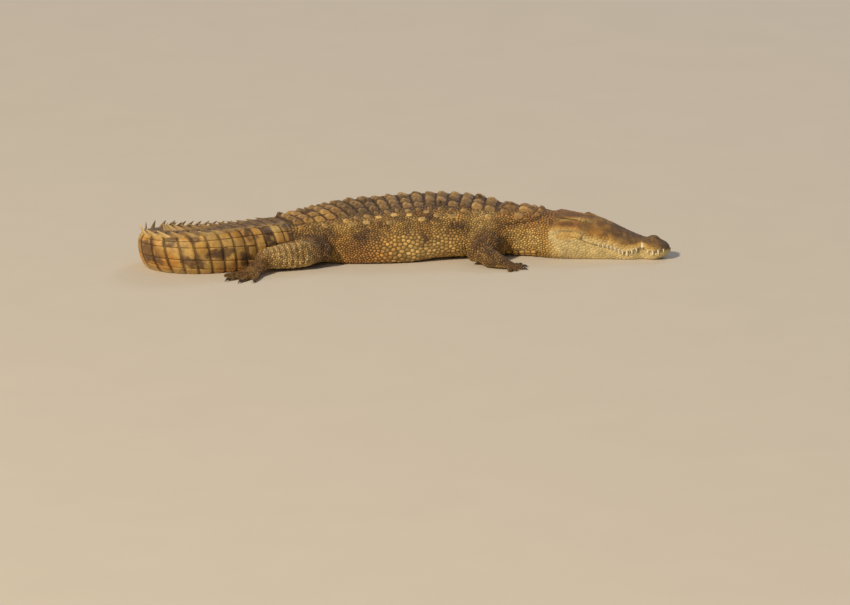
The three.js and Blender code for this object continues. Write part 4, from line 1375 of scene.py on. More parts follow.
def mesh_piece(name, points, faces, uvs, values, material, slot):
    """A piece from arrays of points (mm) and triangles, riding on the one body of this model."""
    mesh = bpy.data.meshes.new(name)
    mesh.vertices.add(len(points))
    mesh.vertices.foreach_set("co", (points * MM).ravel())
    mesh.loops.add(faces.size)
    mesh.loops.foreach_set("vertex_index", faces.ravel())
    mesh.polygons.add(len(faces))
    mesh.polygons.foreach_set("loop_start", np.arange(0, faces.size, 3))
    mesh.update(calc_edges=True)
    mesh.uv_layers.new(name="OFBake").data.foreach_set("uv", uvs[faces.ravel()].ravel())
    for key, value in values.items():
        give(mesh, key, value)
    mesh.shade_smooth()
    mesh.materials.append(material)
    piece = linked(name, mesh)
    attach(piece, "root")
    print(f"{name}: {len(faces)} triangles")


# %% [markdown]
# ## Rings of tiles
#
# Large scales on back, belly and tail stand in straight rings of rectangles with round corners. The rings of
# the tail lean: their lower ends lie further forward.

# %% Rectangles and single plates


def oval(sides, squareness):
    """An outline from -1 to 1 in both directions, nearer to a rectangle the lower its squareness is."""
    angle = angles(sides)
    return signed_power(np.cos(angle), squareness), signed_power(np.sin(angle), squareness)


def tiles(edges_along, edges_around, sides, gap_along, gap_around, squareness=0.55, uneven=0.0):
    """Middles and rims of the rectangles between edges along and edges round (rows of edges, or one row)."""
    edges_around = np.broadcast_to(edges_around, (len(edges_along) - 1, np.shape(edges_around)[-1]))
    middle_along = (edges_along[1:] + edges_along[:-1]) / 2
    middle_around = (edges_around[:, 1:] + edges_around[:, :-1]) / 2
    middle = np.stack(np.broadcast_arrays(middle_along[:, None], middle_around), -1).reshape(-1, 2)
    half_along = np.repeat(np.diff(edges_along) / 2 - gap_along / 2, middle_around.shape[1])
    half_around = (np.diff(edges_around, axis=1) / 2).ravel()
    half_around = half_around - np.sign(half_around) * gap_around / 2
    ahead, across = oval(sides, squareness)
    size = np.stack([half_along, half_around], -1)[:, None]
    rim = np.stack([ahead, -across], -1)[None] * size
    rim = rim * (1 + uneven * rng.uniform(-1, 0.4, (len(middle), sides, 1)))
    middle = middle + uneven * size[:, 0] * rng.uniform(-0.8, 0.8, middle.shape)
    return middle, middle[:, None] + rim


def mirrored(middle, rim):
    """The same scales on the other side, turned so that their faces still point out."""
    flip = np.array([1.0, -1.0])
    other_middle, other_rim = middle * flip + (0, 1), (rim * flip + (0, 1))[:, ::-1]
    return np.concatenate([middle, other_middle]), np.concatenate([rim, np.roll(other_rim, 1, 1)])


def spots(places, size, sides=20, squareness=0.75):
    """Middles and rims of single plates at places (s, distance down from the crown)."""
    places, size = np.array(places, float), np.broadcast_to(np.array(size, float), (len(places), 2))
    middle = np.stack([places[:, 0], from_crown(places[:, 0], places[:, 1])], -1)
    ahead, across = oval(sides, squareness)
    turn = 0.5 - from_crown(places[:, :1], size[:, 1:] / 2 * across)
    return middle, middle[:, None] + np.stack([size[:, :1] / 2 * ahead, turn], -1)


def in_leg(points, margin=0.0):
    """Which points lie inside a limb by more than the margin."""
    inside = np.zeros(len(points), bool)
    for tube in tubes[1:]:
        start, forward, across, upward, marks, wide, high = tube.line
        away = points - start
        along = away @ forward
        w, h = (np.maximum(np.interp(along, marks, r, left=0, right=0) - margin, 1e-3) for r in (wide, high))
        inside |= ((away @ across) / w) ** 2 + ((away @ upward) / h) ** 2 < 1
    return inside


def clear_of_legs(middle, rim):
    """The body's scales that no leg covers."""
    good = ~in_leg(body.at(middle), 4)
    return middle[good], rim[good]


def heights(count, mean, spread=0.12):
    return mean * rng.uniform(1 - spread, 1 + spread, count)


# %% [markdown]
# ## The shield
#
# The back of a marsh crocodile carries bony plates in straight rows, four across, and an outer line of plates
# that stand alone. Each has a keel that rises to the rear, and all are rough and a little uneven. They are
# laid with many sides to keep their square outline, and the keel is added to the dome. The neck has three
# groups of plates, and pale ovals lie scattered along the top of the flank.

# %% Shield and neck plates
SHIELD = {"from": 752, "to": 1716, "rows": 18, "across": (0, 62, 122), "outer": 150, "outer_size": (36, 36)}
# Neck plates: length and width, height of the keel, and their places as s and distance from the crown.
NECK_PLATES = (
    ((62, 52), 12, ((628, 29), (688, 27))), ((46, 40), 9, ((650, 84), (712, 74))),
    ((30, 28), 8, ((560, 19), (568, 58), (596, 40))),
)
# Pale plates of the upper flank: s, distance down from the crown, length, width.
FLANK_PLATES = np.array([
    (1382, 196, 42, 30), (1228, 176, 40, 30), (1262, 226, 40, 28), (1088, 222, 42, 30), (1064, 172, 36, 28),
    (1012, 196, 36, 28), (1150, 186, 34, 26), (1310, 178, 34, 26), (935, 190, 36, 28), (1460, 182, 38, 28),
], float)
PALE_PLATE = {"back": 0.3, "dark": 0.0, "cream": 0.4}


def narrowing(s):
    return np.minimum(1, half_width(s) / 200)


shield_rows = np.linspace(SHIELD["from"], SHIELD["to"], SHIELD["rows"] + 1)
row_middles = (shield_rows[1:] + shield_rows[:-1]) / 2
across = np.array(SHIELD["across"])[None] * narrowing(row_middles)[:, None]
shield = mirrored(*tiles(shield_rows, from_crown(row_middles[:, None], across), 24, 1.4, 0.0015, 0.5, 0.10))
rows, narrow = SHIELD["rows"], narrowing(row_middles)
outer_places = np.stack([row_middles, (SHIELD["outer"] + rng.uniform(-7, 7, rows)) * narrow], 1)
outer_sizes = np.array(SHIELD["outer_size"]) * narrow[:, None] * rng.uniform(0.75, 1.1, (rows, 1))
outer = mirrored(*spots(outer_places, outer_sizes))
pale = mirrored(*spots(FLANK_PLATES[:, :2], FLANK_PLATES[:, 2:]))

# Each set of plates: height and its spread, keel and its spread, the ridge's width and the roughness.
plate_sets = [(shield, 5, 0.35, 10.5, 0.35, 0.26, 4.5), (outer, 4.2, 0.3, 7, 0.4, 0.32, 3.0),
              (pale, 4.0, 0.12, 2.0, 0.12, 0.5, 0.6)]
plate_sets += [(mirrored(*spots(at, size)), 5, 0.12, high, 0.12, 0.34, 2.2) for size, high, at in NECK_PLATES]
shield_batches = []
for plates, high, spread, keel, keel_spread, ridge_wide, rough in plate_sets:
    rise, keels = heights(len(plates[0]), high, spread), heights(len(plates[0]), keel, keel_spread)
    shield_batches.append(lay(*plates, rise, keel=keels, ridge_wide=ridge_wide, rough=rough))
for mask, share in PALE_PLATE.items():
    shield_batches[2]["marks"][mask][:] = share
for batch in shield_batches[3:]:
    batch["marks"]["back"] = np.maximum(batch["marks"]["back"], 0.6)
batch_piece("shield", shield_batches, SHIELD_HIDE, "skin")

# %% [markdown]
# ## The belly
#
# The belly has straight rows of smooth tiles, two to each row of the back.

# %% Belly
BELLY_TURN = 0.17  # where the belly's tiles end
belly_rows = np.arange(560, VENT + 10, 29.0)
belly = clear_of_legs(*mirrored(*tiles(belly_rows, np.linspace(0, BELLY_TURN, 8), 12, 1.8, 0.0018)))
belly_batch = lay(*belly, heights(len(belly[0]), 1.8), (1, 0.9, 0.6))
batch_piece("belly_tiles", [belly_batch], SCALE_HIDE, "skin")

# %% [markdown]
# ## The tail's whorls
#
# Rings of rectangular scales sheathe the tail. They nearly touch above and below, but a crease, darkened with
# painted shade and some dirt, parts each ring from the next, and across the ring they bulge like barrels. The
# topmost ones rise into the crest, which is laid separately.

# %% Whorls
TIP_ROWS = (3298, 3322, 3344)
TILE_REACHES = (1, 0.965, 0.84, 0.62, 0.36)
SIDE_EDGES = (0, 0.07, 0.135, 0.2, 0.285)  # addresses round of the lower edges, below the tall side scales
crest_spread = curve_through([(0, 64), (8, 58), (13, 44), (17, 14), (18, 8)])
whorl_edges = np.concatenate([WHORL_STARTS, TIP_ROWS])
whorl_middles = (whorl_edges[1:] + whorl_edges[:-1]) / 2
whorl_index = np.arange(len(whorl_middles))
crest_out = np.minimum(crest_spread(whorl_index), 0.6 * upper_girth(whorl_middles))
crest_turn = from_crown(whorl_middles, crest_out)
tall = SIDE_EDGES[-1] + (crest_turn - SIDE_EDGES[-1])[:, None] * np.array([0.52, 1])
whorl_turns = np.concatenate([np.broadcast_to(SIDE_EDGES, (len(whorl_middles), len(SIDE_EDGES))), tall], 1)
flanks = tiles(whorl_edges, whorl_turns, 24, 2.4, 0.0008, 0.36, 0.03)
doubled = whorl_index < WHORLS["doubled"] - 1
crown_turns = np.stack([crest_turn, (crest_turn + 0.5) / 2, np.full(len(crest_turn), 0.5)], 1)[doubled]
crown = tiles(whorl_edges[: doubled.sum() + 1], crown_turns, 24, 2.4, 0.0008, 0.40, 0.03)
tail_batches = []
for part, mean in ((flanks, 4.6), (crown, 3.4)):
    middle, rim = mirrored(*part)
    for places in (middle, rim):
        places[..., 0] -= slant(places[..., 0], places[..., 1])
    middle, rim = clear_of_legs(middle, rim)
    lift = heights(len(middle), mean) * np.interp(middle[:, 0], (VENT, 2600, LENGTH), (1, 0.7, 0.25))
    tail_batches.append(lay(middle, rim, lift, TILE_REACHES, barrel=True, rough=0.7))
batch_piece("tail_scales", tail_batches, SCALE_HIDE, "skin")

# %% [markdown]
# ## Cobbles
#
# Neck, flanks, jaws and legs are paved with small uneven scales, a little longer along the body than across
# it. First every point of the skin gets the size that scales have there, and how proud they stand. Then
# random places are tried on the skin, and each one that is kept rules out its neighbours within that size.
# All of them push each other apart a few times, which evens out the gaps. Last, each takes the ground that is
# nearer to it than to any other.

# %% Sizes of the cobbles at each point of the skin
LEG_COBBLES = {"upper": 10.5, "lower": 9.5, "palm": 7.0}  # sizes on each part of a leg
TOE_COBBLES = 6.0
skin_normals = read(skin.data.vertices, "normal")


def body_cobbles(s, up, points):
    """Size and relief of the cobbles on head, neck and trunk. Size 0 leaves the skin bare."""
    crown_edge = 2 * from_crown(s, (SHIELD["across"][-1] - 3) * narrowing(s))
    ovals = fade(up, 0.62, 0.52) * fade(s, 860, 960) * fade(s, 1400, 1290)
    flank = 9.8 + 9.0 * ovals * (0.35 + 0.65 * fade(lumps(points, 60, 52), 0.3, 0.55))
    size = np.where(s < 742, 9.8 + 1.2 * fade(s, 560, 720), flank * (0.9 + 0.25 * lumps(points, 85, 51)))
    size = np.where(s < 512, 12.5 - 3.5 * fade(s, 300, 60), size)
    bare = (up < 2 * BELLY_TURN - 0.008) & (s > 556)  # the belly's tiles
    bare |= (up > crown_edge) & (s > SHIELD["from"] - 8)  # the shield
    bare |= s + slant(s, up / 2) > WHORL_STARTS[0] - 4  # the tail's tiles
    bare |= (s < 490) & (up > np.interp(s, (0, 330, 420, 490), (0.6, 0.64, 0.70, 0.80)))  # skin on bone
    bare |= (s < 430) & (np.abs(up - 0.505) < 0.024) | (s < 16)  # the lips and the nose
    jaw = s < np.interp(points[:, 2], *JAW_EDGE)
    relief = np.where(jaw, 0.35, 2.1) + 1.2 * fade(s, 440, 500) * (up > 0.6) * jaw
    return np.where(bare, 0, size), relief


cobble_size, cobble_relief = np.zeros(len(smooth)), np.ones(len(smooth))
grain_way = np.zeros((len(smooth), 3))
for index, (tube_name, tube) in enumerate(all_tubes.items()):
    here = skin_tube == index
    if tube_name == "body":
        found = body_cobbles(skin_along[here], side_share(skin_around[here]), smooth[here])
        turn = np.radians(heading(skin_along[here]))
        grain_way[here] = np.stack([-np.cos(turn), np.sin(turn), 0 * turn], 1)
    else:
        mean = LEG_COBBLES.get(tube_name.rsplit("_", 1)[-1], TOE_COBBLES)
        found = (mean * (0.85 + 0.3 * lumps(smooth[here], 40, 53)), 2.2)
        grain_way[here] = tube.line[1]
    cobble_size[here], cobble_relief[here] = found
for plates, *_ in plate_sets[1:]:  # no cobbles under the plates that stand alone
    for root, rim in zip(*map(body.at, plates)):
        cobble_size[length(smooth - root) < 0.9 * length(rim - root).mean()] = 0
print("skin points with cobbles:", int((cobble_size > 0).sum()))

# %% Places for the cobbles
TRIES = 340000
PUSHES, NEIGHBOURS = 4, 9
CLEARANCE = 0.76  # the least distance between two tried places, as a share of the size
LONGER = 1.25  # a cobble's length along the body over its width
STRETCH = np.array([1 / LONGER, 1, 1])

corner = triangles(skin.data)
skin_bvh = BVHTree.FromPolygons(smooth.tolist(), corner.tolist())
skin_points = tree_of(smooth)


def on_skin(points):
    return np.array([skin_bvh.find_nearest(point)[0] for point in points])


def scatter():
    """Random places on the skin, no two nearer than the cobbles' size there."""
    a, b, c = np.moveaxis(smooth[corner], 1, 0)
    area = length(np.cross(b - a, c - a))
    sizes = cobble_size[corner]
    paved = (sizes > 0).all(1)
    weight = np.where(paved, area / np.maximum(sizes.mean(1), 1) ** 2, 0)
    pick = rng.choice(len(corner), TRIES, p=weight / weight.sum())
    share = rng.dirichlet((1, 1, 1), TRIES)[..., None]
    points = (smooth[corner[pick]] * share).sum(1)
    size = sizes[pick].mean(1)
    stretched = points * STRETCH
    tree = tree_of(stretched)
    open_ground = np.ones(TRIES, bool)
    taken = []
    for i in range(TRIES):
        if open_ground[i]:
            taken.append(i)
            for _, j, _ in tree.find_range(stretched[i], CLEARANCE * size[i]):
                open_ground[j] = False
    return points[taken]


def neighbours_of(points):
    """The offsets from each point to its nearest neighbours."""
    stretched = points * STRETCH
    tree = tree_of(stretched)
    near = np.array([[found[1] for found in tree.find_n(point, NEIGHBOURS)][1:] for point in stretched])
    return points[near] - points[:, None]


cobble_at = scatter()
for _ in range(PUSHES):
    size = 1.06 * cobble_size[nearest(skin_points, cobble_at)[0]][:, None]
    gap = neighbours_of(cobble_at) * STRETCH
    distance = np.maximum(length(gap), 0.1)
    push = np.clip(1 - distance / np.maximum(size, 1), 0, 1) * 0.42 * size
    cobble_at = on_skin(cobble_at - (gap / distance[..., None] * push[..., None]).sum(1) / STRETCH)
print("cobbles:", len(cobble_at))

# %% Cobbles laid on the skin
COBBLE_SIDES, COBBLE_REACHES = 10, (1, 0.8)
LARGE_REACHES = (1, 0.88, 0.6)
CELL_ROUNDING = 9  # higher keeps sharper corners


def cells(index, gaps):
    """The rim of each cobble: the ground nearer to it than to its neighbours, in its tangent plane."""
    vertex = cobble_vertex[index]
    normal, size = skin_normals[vertex], cobble_size[vertex]
    ahead = unit(grain_way[vertex] - (grain_way[vertex] * normal).sum(1, keepdims=True) * normal)
    side = np.cross(normal, ahead)
    x, y = (gaps @ ahead[..., None])[..., 0] / LONGER, (gaps @ side[..., None])[..., 0]
    away, way = np.hypot(x, y), np.arctan2(y, x)
    angle = angles(COBBLE_SIDES)
    facing = np.cos(angle[None, None] - way[..., None])
    edge = np.where(facing > 0.15, away[..., None] / 2 / np.maximum(facing, 0.15), 1e3)
    edge = np.concatenate([edge, np.repeat(0.78 * size[:, None, None], COBBLE_SIDES, 2)], 1)
    reach = ((1 / edge) ** CELL_ROUNDING).sum(1) ** (-1 / CELL_ROUNDING)
    rim = LONGER * np.cos(angle)[None, :, None] * ahead[:, None]
    rim = rim + np.sin(angle)[None, :, None] * side[:, None]
    return rim * (0.95 * reach)[..., None], normal


def lay_cobbles(index, gaps, reaches, tones):
    """A batch of cobbles like those of lay, but on the joined skin. Tones is how much they differ."""
    root, vertex = cobble_at[index], cobble_vertex[index]
    rim, normal = cells(index, gaps)
    ground = on_skin((root[:, None] + rim).reshape(-1, 3)).reshape(rim.shape) - root[:, None]
    reach, side, faces, dome, crease, patch = dome_on(COBBLE_SIDES, reaches)
    lift = (cobble_relief[vertex] * rng.uniform(0.75, 1.3, len(root)))[:, None] * dome
    lift = lift - SUNK * (reach > 0.99)
    lift[:, -1] = -SUNK
    points = root[:, None] + ground[:, side] * reach[None, :, None] + normal[:, None] * lift[..., None]
    points[..., 2] = np.maximum(points[..., 2], 0)
    home = np.zeros((len(index), 2))
    for i, tube in enumerate(tubes):
        here = skin_tube[vertex] == i
        home[here] = tube.unwrap(skin_address[vertex[here]])
    return {
        "points": points, "faces": faces, "home": home, "patch": patch, "crease": crease,
        "marks": {mask: skin_marks[mask][vertex] for mask in MASKS}, "tones": tones, "ridge": 0 * reach,
    }


# %% Cobbles of each region
HEAD_TONES, LEG_TONES, BODY_TONES = 0.55, 1.8, 1.4
LARGE_COBBLE = 13  # from this size on a cobble gets another ring

cobble_vertex = nearest(skin_points, cobble_at)[0]
on_paving = cobble_size[cobble_vertex] > 0
cobble_at, cobble_vertex = cobble_at[on_paving], cobble_vertex[on_paving]
cobble_gaps = neighbours_of(cobble_at)
cobble_tube, cobble_s = skin_tube[cobble_vertex], skin_along[cobble_vertex]
on_body, right = cobble_tube == 0, skin_around[cobble_vertex] < 0.5
behind_neck = on_body & (cobble_s >= SHIELD["from"])
regions = {
    "head_scales": on_body & (cobble_s < JAW_END),
    "neck_scales": on_body & (cobble_s >= JAW_END) & ~behind_neck,
    "flank_scales_right": behind_neck & right,
    "flank_scales_left": behind_neck & ~right,
}
tube_names = np.array(list(all_tubes))
for leg_name in LEGS:
    regions[f"{leg_name}_scales"] = np.char.startswith(tube_names[cobble_tube], leg_name)
large = cobble_size[cobble_vertex] > LARGE_COBBLE
for name, here in regions.items():
    batches = []
    tones = HEAD_TONES if name == "head_scales" else LEG_TONES if "leg" in name else BODY_TONES
    for chosen, reaches in ((here & ~large, COBBLE_REACHES), (here & large, LARGE_REACHES)):
        if chosen.any():
            batches.append(lay_cobbles(np.flatnonzero(chosen), cobble_gaps[chosen], reaches, tones))
    batch_piece(name, batches, SCALE_HIDE, "limb" if "leg" in name else "skin")

# %% [markdown]
# ## Teeth and crest
#
# A tooth and a crest scale are the same form in different sizes: a cone that leans. So one Geometry Nodes
# tree makes both. It bends a cone, puts one on every point of a mesh, turned and sized by that point's
# attributes, makes the copies real and gives them their material. The points themselves come from the
# outline curves.

# %% The horn tree
HORN_INPUTS = (
    ("Sides", "Int", 10), ("Rings", "Int", 6), ("Lean", "Float", 0.3), ("Curl", "Float", 0.1),
    ("Fullness", "Float", 0.4), ("Blunt", "Float", 0.04), ("Finish", "Material", None),
)


class HornTree(Tree):
    """A tree that stands a leaning cone on each point of its geometry."""

    def __init__(self):
        group = self.tree = bpy.data.node_groups.new("leaning horns", "GeometryNodeTree")
        sockets = group.interface.new_socket
        sockets("Geometry", in_out="INPUT", socket_type="NodeSocketGeometry")
        for name, kind, value in HORN_INPUTS:
            socket = sockets(name, in_out="INPUT", socket_type=f"NodeSocket{kind}")
            if value is not None:
                socket.default_value = value
        sockets("Geometry", in_out="OUTPUT", socket_type="NodeSocketGeometry")
        names = ["Geometry", *(name for name, _, _ in HORN_INPUTS)]
        given = {name: self.node("NodeGroupInput", out=name) for name in names}
        copies = self.node("GeometryNodeInstanceOnPoints", None, {
            "Points": given["Geometry"], "Instance": self.cone(given), "Scale": self.named("size"),
            "Rotation": self.node("FunctionNodeEulerToRotation", None, {0: self.named("turn")}),
        })
        real = self.node("GeometryNodeRealizeInstances", None, {"Geometry": copies})
        done = {"Geometry": real, "Material": given["Finish"]}
        output = group.nodes.new("NodeGroupOutput")
        self.plug(self.node("GeometryNodeSetMaterial", None, done), output.inputs[0])

    def named(self, name):
        settings = {"data_type": "FLOAT_VECTOR"}
        return self.node("GeometryNodeInputNamedAttribute", settings, {"Name": name})

    def cone(self, given):
        """A cone of height 1 that leans and curls along x, and keeps its height as an attribute."""
        cone = self.node("GeometryNodeMeshCone", None, {
            "Vertices": given["Sides"], "Side Segments": given["Rings"], "Radius Top": given["Blunt"],
            "Radius Bottom": 0.5, "Depth": 1.0,
        })
        place = self.node("GeometryNodeInputPosition")
        x, y, up = (self.node("ShaderNodeSeparateXYZ", None, {0: place}, out=axis) for axis in "XYZ")
        fuller = up * given["Fullness"]
        over = up * up.math("MULTIPLY_ADD", up, given["Curl"], given["Lean"])
        wider = up.math("MULTIPLY_ADD", x, fuller, over)
        offset = self.node("ShaderNodeCombineXYZ", None, {"X": wider, "Y": y * fuller})
        bent = self.node("GeometryNodeSetPosition", None, {"Geometry": cone, "Offset": offset})
        settings = {"data_type": "FLOAT", "domain": "POINT"}
        rise = {"Geometry": bent, "Name": "rise", "Value": up}
        return self.node("GeometryNodeStoreNamedAttribute", settings, rise)


HORNS = HornTree().tree


def horns(name, rows, values, material, slot, **inputs):
    """A piece of leaning cones from rows of (root in mm, turn as Euler angles, size in mm, address)."""
    roots, turn, size, address = (np.array(part, float) for part in zip(*rows))
    mesh = bpy.data.meshes.new(name)
    mesh.from_pydata((roots * MM).tolist(), [], [])
    home = np.concatenate([body.unwrap(address), np.zeros((len(rows), 1))], 1)
    for key, value in {"turn": turn, "size": size * MM, "home": home, **values}.items():
        give(mesh, key, value)
    piece = linked(name, mesh)
    modifier = piece.modifiers.new("horns", "NODES")
    modifier.node_group = HORNS
    inputs["Finish"] = material
    for item in HORNS.interface.items_tree:
        if item.item_type == "SOCKET" and item.name in inputs:
            modifier[item.identifier] = inputs[item.name]
    depsgraph = bpy.context.evaluated_depsgraph_get()
    real = bpy.data.meshes.new_from_object(piece.evaluated_get(depsgraph))
    piece.modifiers.clear()
    piece.data = real
    home_at = read(real.attributes["home"].data, "vector", 3, np.float32)
    rise = read(real.attributes["rise"].data, "value", 1, np.float32)[:, 0]
    uvs = home_at[:, :2] + np.stack([rise - 0.5, 0 * rise], 1) * 2 * PATCH
    corners = read(real.loops, "vertex_index", 1, int)[:, 0]
    real.uv_layers.new(name="OFBake").data.foreach_set("uv", uvs[corners].ravel())
    real.shade_smooth()
    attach(piece, "root")
    print(f"{name}: {len(rows)} horns, {len(triangles(real))} triangles")


# %% Crest of the tail
crest_height = curve_through([
    (0, 8), (3, 12), (6, 24), (10, 32), (14, 32), (18, 22), (26, 19), (32, 16), (36, 10),
])
crest_width = curve_through([(0, 30), (18, 18), (36, 8)])
CREST_SUNK = 9
CREST_TURN = 0.28  # how far the two rows lean apart, in radians
# The near row of blades between these whorls is painted pale cream, as if lit.
PAINTED_LIT_CREST = (6, 15)  # the whorls between which the near row is pale


def crest():
    """Two rows of blades down to the whorl where they meet, then one row."""
    rows = []
    for k in range(WHORLS["count"]):
        s, long = whorl_start(k), WHORLS["first"] - WHORLS["shrink"] * k
        at = s + 0.45 * long
        for side in (-1, 1) if k < WHORLS["doubled"] else (0,):
            sideways = side * float(crest_spread(k))
            share = min(1, abs(sideways) / float(half_width(at)))
            square = float(square_above(at))
            foot = widest(at) + (top(at) - widest(at)) * (1 - share**square) ** (1 / square) - CREST_SUNK
            turn = (CREST_TURN * side, 0, math.pi - math.radians(float(heading(at))))
            high = 0.78 * float(crest_height(k)) + CREST_SUNK
            size = (0.95 * long, float(crest_width(k)) * 0.42, high)
            rows.append((place(at, sideways, float(foot)), turn, size, (at, 0.5 + 0.02 * side)))
    roots, _, _, address = (np.array(part) for part in zip(*rows))
    marks = marks_of("body", address, roots)
    s, around = address.T
    # Near-row blades between those whorls are painted pale cream as a painted highlight. The others get at
    # least a third of the back's grey-brown, which on the far row is painted shade.
    pale = (around < 0.495) & (s > whorl_start(PAINTED_LIT_CREST[0])) & (s < whorl_start(PAINTED_LIT_CREST[1]))
    unlit_blade = np.where(pale, 0.0, 1.0)
    values = {
        **marks, "back": unlit_blade * (0.35 + 0.6 * marks["back"]), "cream": 0.6 * (1 - unlit_blade),
        # Every blade is paled along its length: a painted highlight, partly wear.
        "dark": marks["dark"] * unlit_blade, "crease": 0 * s, "hollow": 0 * s, "ridge": 0.9 + 0 * s,
        "tone": rng.uniform(0.3, 1, len(rows)),
    }
    form = {"Sides": 14, "Rings": 8, "Lean": 0.9, "Curl": 0.25, "Fullness": 0.95, "Blunt": 0.04}
    horns("crest", rows, values, SCALE_HIDE, "skin", **form)


crest()

# %% Teeth
# Each tooth: its station, how long and how thick. The long lower one stands in the notch of the lip.
UPPER_TEETH = (
    (16, 9, 7), (37, 14, 9), (61, 17, 10), (82, 10, 8), (132, 10, 8), (150, 13, 9), (171, 19, 10),
    (189, 12, 8), (205, 9, 8), (221, 9, 8), (238, 8, 8), (254, 8, 8), (272, 7, 8), (290, 6, 7),
)
LOWER_TEETH = (
    (NOTCH, 19, 10), (141, 7, 6), (160, 7, 6), (197, 6, 6), (213, 6, 6), (229, 6, 6), (246, 6, 6),
    (263, 5, 6), (281, 5, 5),
)
TOOTH_ROOT = 6
TOOTH_OUT = {"upper": 1.2, "notch": 0.5, "lower": 3.4 - LIP_OVERHANG}  # past the lip's half width
TOOTH_TURN = math.radians(13)

enamel = Shader("tooth enamel", Coat_Weight=0.3, Specular_IOR_Level=0.5)
rise = enamel.attribute("rise")
stain = enamel.noise(160, 3)
ivory = enamel.mix(enamel.ramp(rise, 0.45, 0.1) * 0.6, colour(250, 243, 220), colour(196, 170, 116))
ENAMEL = enamel.finish(enamel.shade(ivory, 0.85 + 0.3 * stain), 0.28 + 0.2 * stain)


def teeth():
    """Both rows on both sides. Up is -1 for teeth that point down and 1 for those that point up."""
    rows = []
    for up, row in ((-1, UPPER_TEETH), (1, LOWER_TEETH)):
        for s, long, thick in row:
            past = TOOTH_OUT["upper" if up < 0 else "notch" if s == NOTCH else "lower"]
            for side in (-1, 1):
                sideways = side * (float(half_width(s)) + past - thick / 2)
                root = place(s, sideways, float(mouth(s)) - up * TOOTH_ROOT)
                spin = -side * (math.pi / 2) * (up > 0) - TOOTH_TURN
                turn = (math.pi * (up < 0) + 0.10 * side * up, 0, spin)
                size = (1.15 * thick, 1.05 * thick, 1.05 * long + TOOTH_ROOT)
                rows.append((root, turn, size, (s, 0.25 if side < 0 else 0.75)))
    form = {"Sides": 12, "Rings": 6, "Lean": 0.0, "Curl": 0.14, "Fullness": 0.6, "Blunt": 0.06}
    horns("teeth", rows, {}, ENAMEL, "jaw", **form)


teeth()

# %% [markdown]
# ## Eyes
#
# A crocodile's eye is a glassy ball, greenish gold with fine dark veins, and its pupil closes to an upright
# slit in the sun. The ball is finely faced, because it is smooth and shiny. Two attributes measure how far a
# point lies fore and aft and up and down from where the eye looks, and the material draws iris and slit from
# them.

# %% Eyeballs
EYE_FACETS = (40, 24)
IRIS, SLIT_WIDE, SLIT_HIGH = 0.8, 0.07, 0.42  # as shares of the ball's radius

eye_shader = Shader("wet eye", Coat_Weight=1.0, Coat_Roughness=0.03, Specular_IOR_Level=0.6)
fore, rise = eye_shader.attribute("fore"), eye_shader.attribute("rise")
from_middle = (fore * fore + rise * rise) ** 0.5
slit = (fore * fore * (1 / SLIT_WIDE**2) + rise * rise * (1 / SLIT_HIGH**2)) ** 0.5
veins = eye_shader.noise(520, 4)
gold = eye_shader.mix(eye_shader.ramp(veins, 0.35, 0.65), colour(120, 112, 48), colour(196, 176, 84))
gold = eye_shader.mix(eye_shader.ramp(from_middle, IRIS - 0.2, IRIS), gold, colour(40, 32, 20))
gold = eye_shader.mix(eye_shader.ramp(slit, 1.1, 0.9), gold, colour(6, 5, 4))
WET_EYE = eye_shader.finish(gold, 0.12)


def eyeball(side):
    """A finely faced ball, with a pole where the eye looks."""
    name = "eye_right" if side < 0 else "eye_left"
    columns, rows = EYE_FACETS
    polar = np.linspace(0, np.pi, rows)[1:-1, None]
    turn = angles(columns)
    ring = np.sin(polar)
    level = np.broadcast_to(np.cos(polar), (rows - 2, columns))
    local = np.stack([ring * np.cos(turn), ring * np.sin(turn), level], -1).reshape(-1, 3)
    local = np.concatenate([local, [[0, 0, 1], [0, 0, -1]]])
    gaze, forward, upward = eye_axes()
    way = local[:, :1] * forward + local[:, 1:2] * upward + local[:, 2:] * gaze
    at = EYE_AT + way * (EYEBALL["radius"] - 0.3)
    points = place(at[:, 0], side * at[:, 1], at[:, 2])
    ball = closed_mesh(name + "_ball", list(points[:-2].reshape(rows - 2, columns, 3)), points[-2:])
    give(ball.data, "fore", local[:, 0])
    give(ball.data, "rise", local[:, 1])
    ball.data.materials.append(WET_EYE)
    ball.data.shade_smooth()
    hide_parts(name)
    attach(ball, "root")


for side in (-1, 1):
    eyeball(side)
print("eyes:", 2 * EYEBALL["radius"], "mm across")

# %% [markdown]
# ## Claws
#
# Three toes of each foot carry a claw: dark horn, round above, that curves down to the floor and is worn
# paler at the tip.

# %% Claws
CLAW_ALONG = np.linspace(-0.12, 1, 14)
claw_up = curve_through([(-0.12, 0.0), (0, 0.02), (0.4, 0.1), (0.75, -0.02), (1, -0.17)])
claw_radius = curve_through([(-0.12, 0.2), (0, 0.25), (0.4, 0.2), (0.75, 0.12), (1, 0.02)])
CLAW_SIDES, CLAW_FLATNESS = 14, 0.8

horn = Shader("claw horn", Specular_IOR_Level=0.5, Coat_Weight=0.15)
tipwards, grain = horn.attribute("rise"), horn.noise(300, 3)
dark_horn = horn.mix(horn.ramp(tipwards + 0.3 * grain, 0.7, 1.25), colour(58, 44, 32), colour(122, 100, 74))
CLAW_HORN = horn.finish(horn.shade(dark_horn, 0.8 + 0.4 * grain), 0.32 + 0.25 * grain, grain, 0.0006, 0.4)


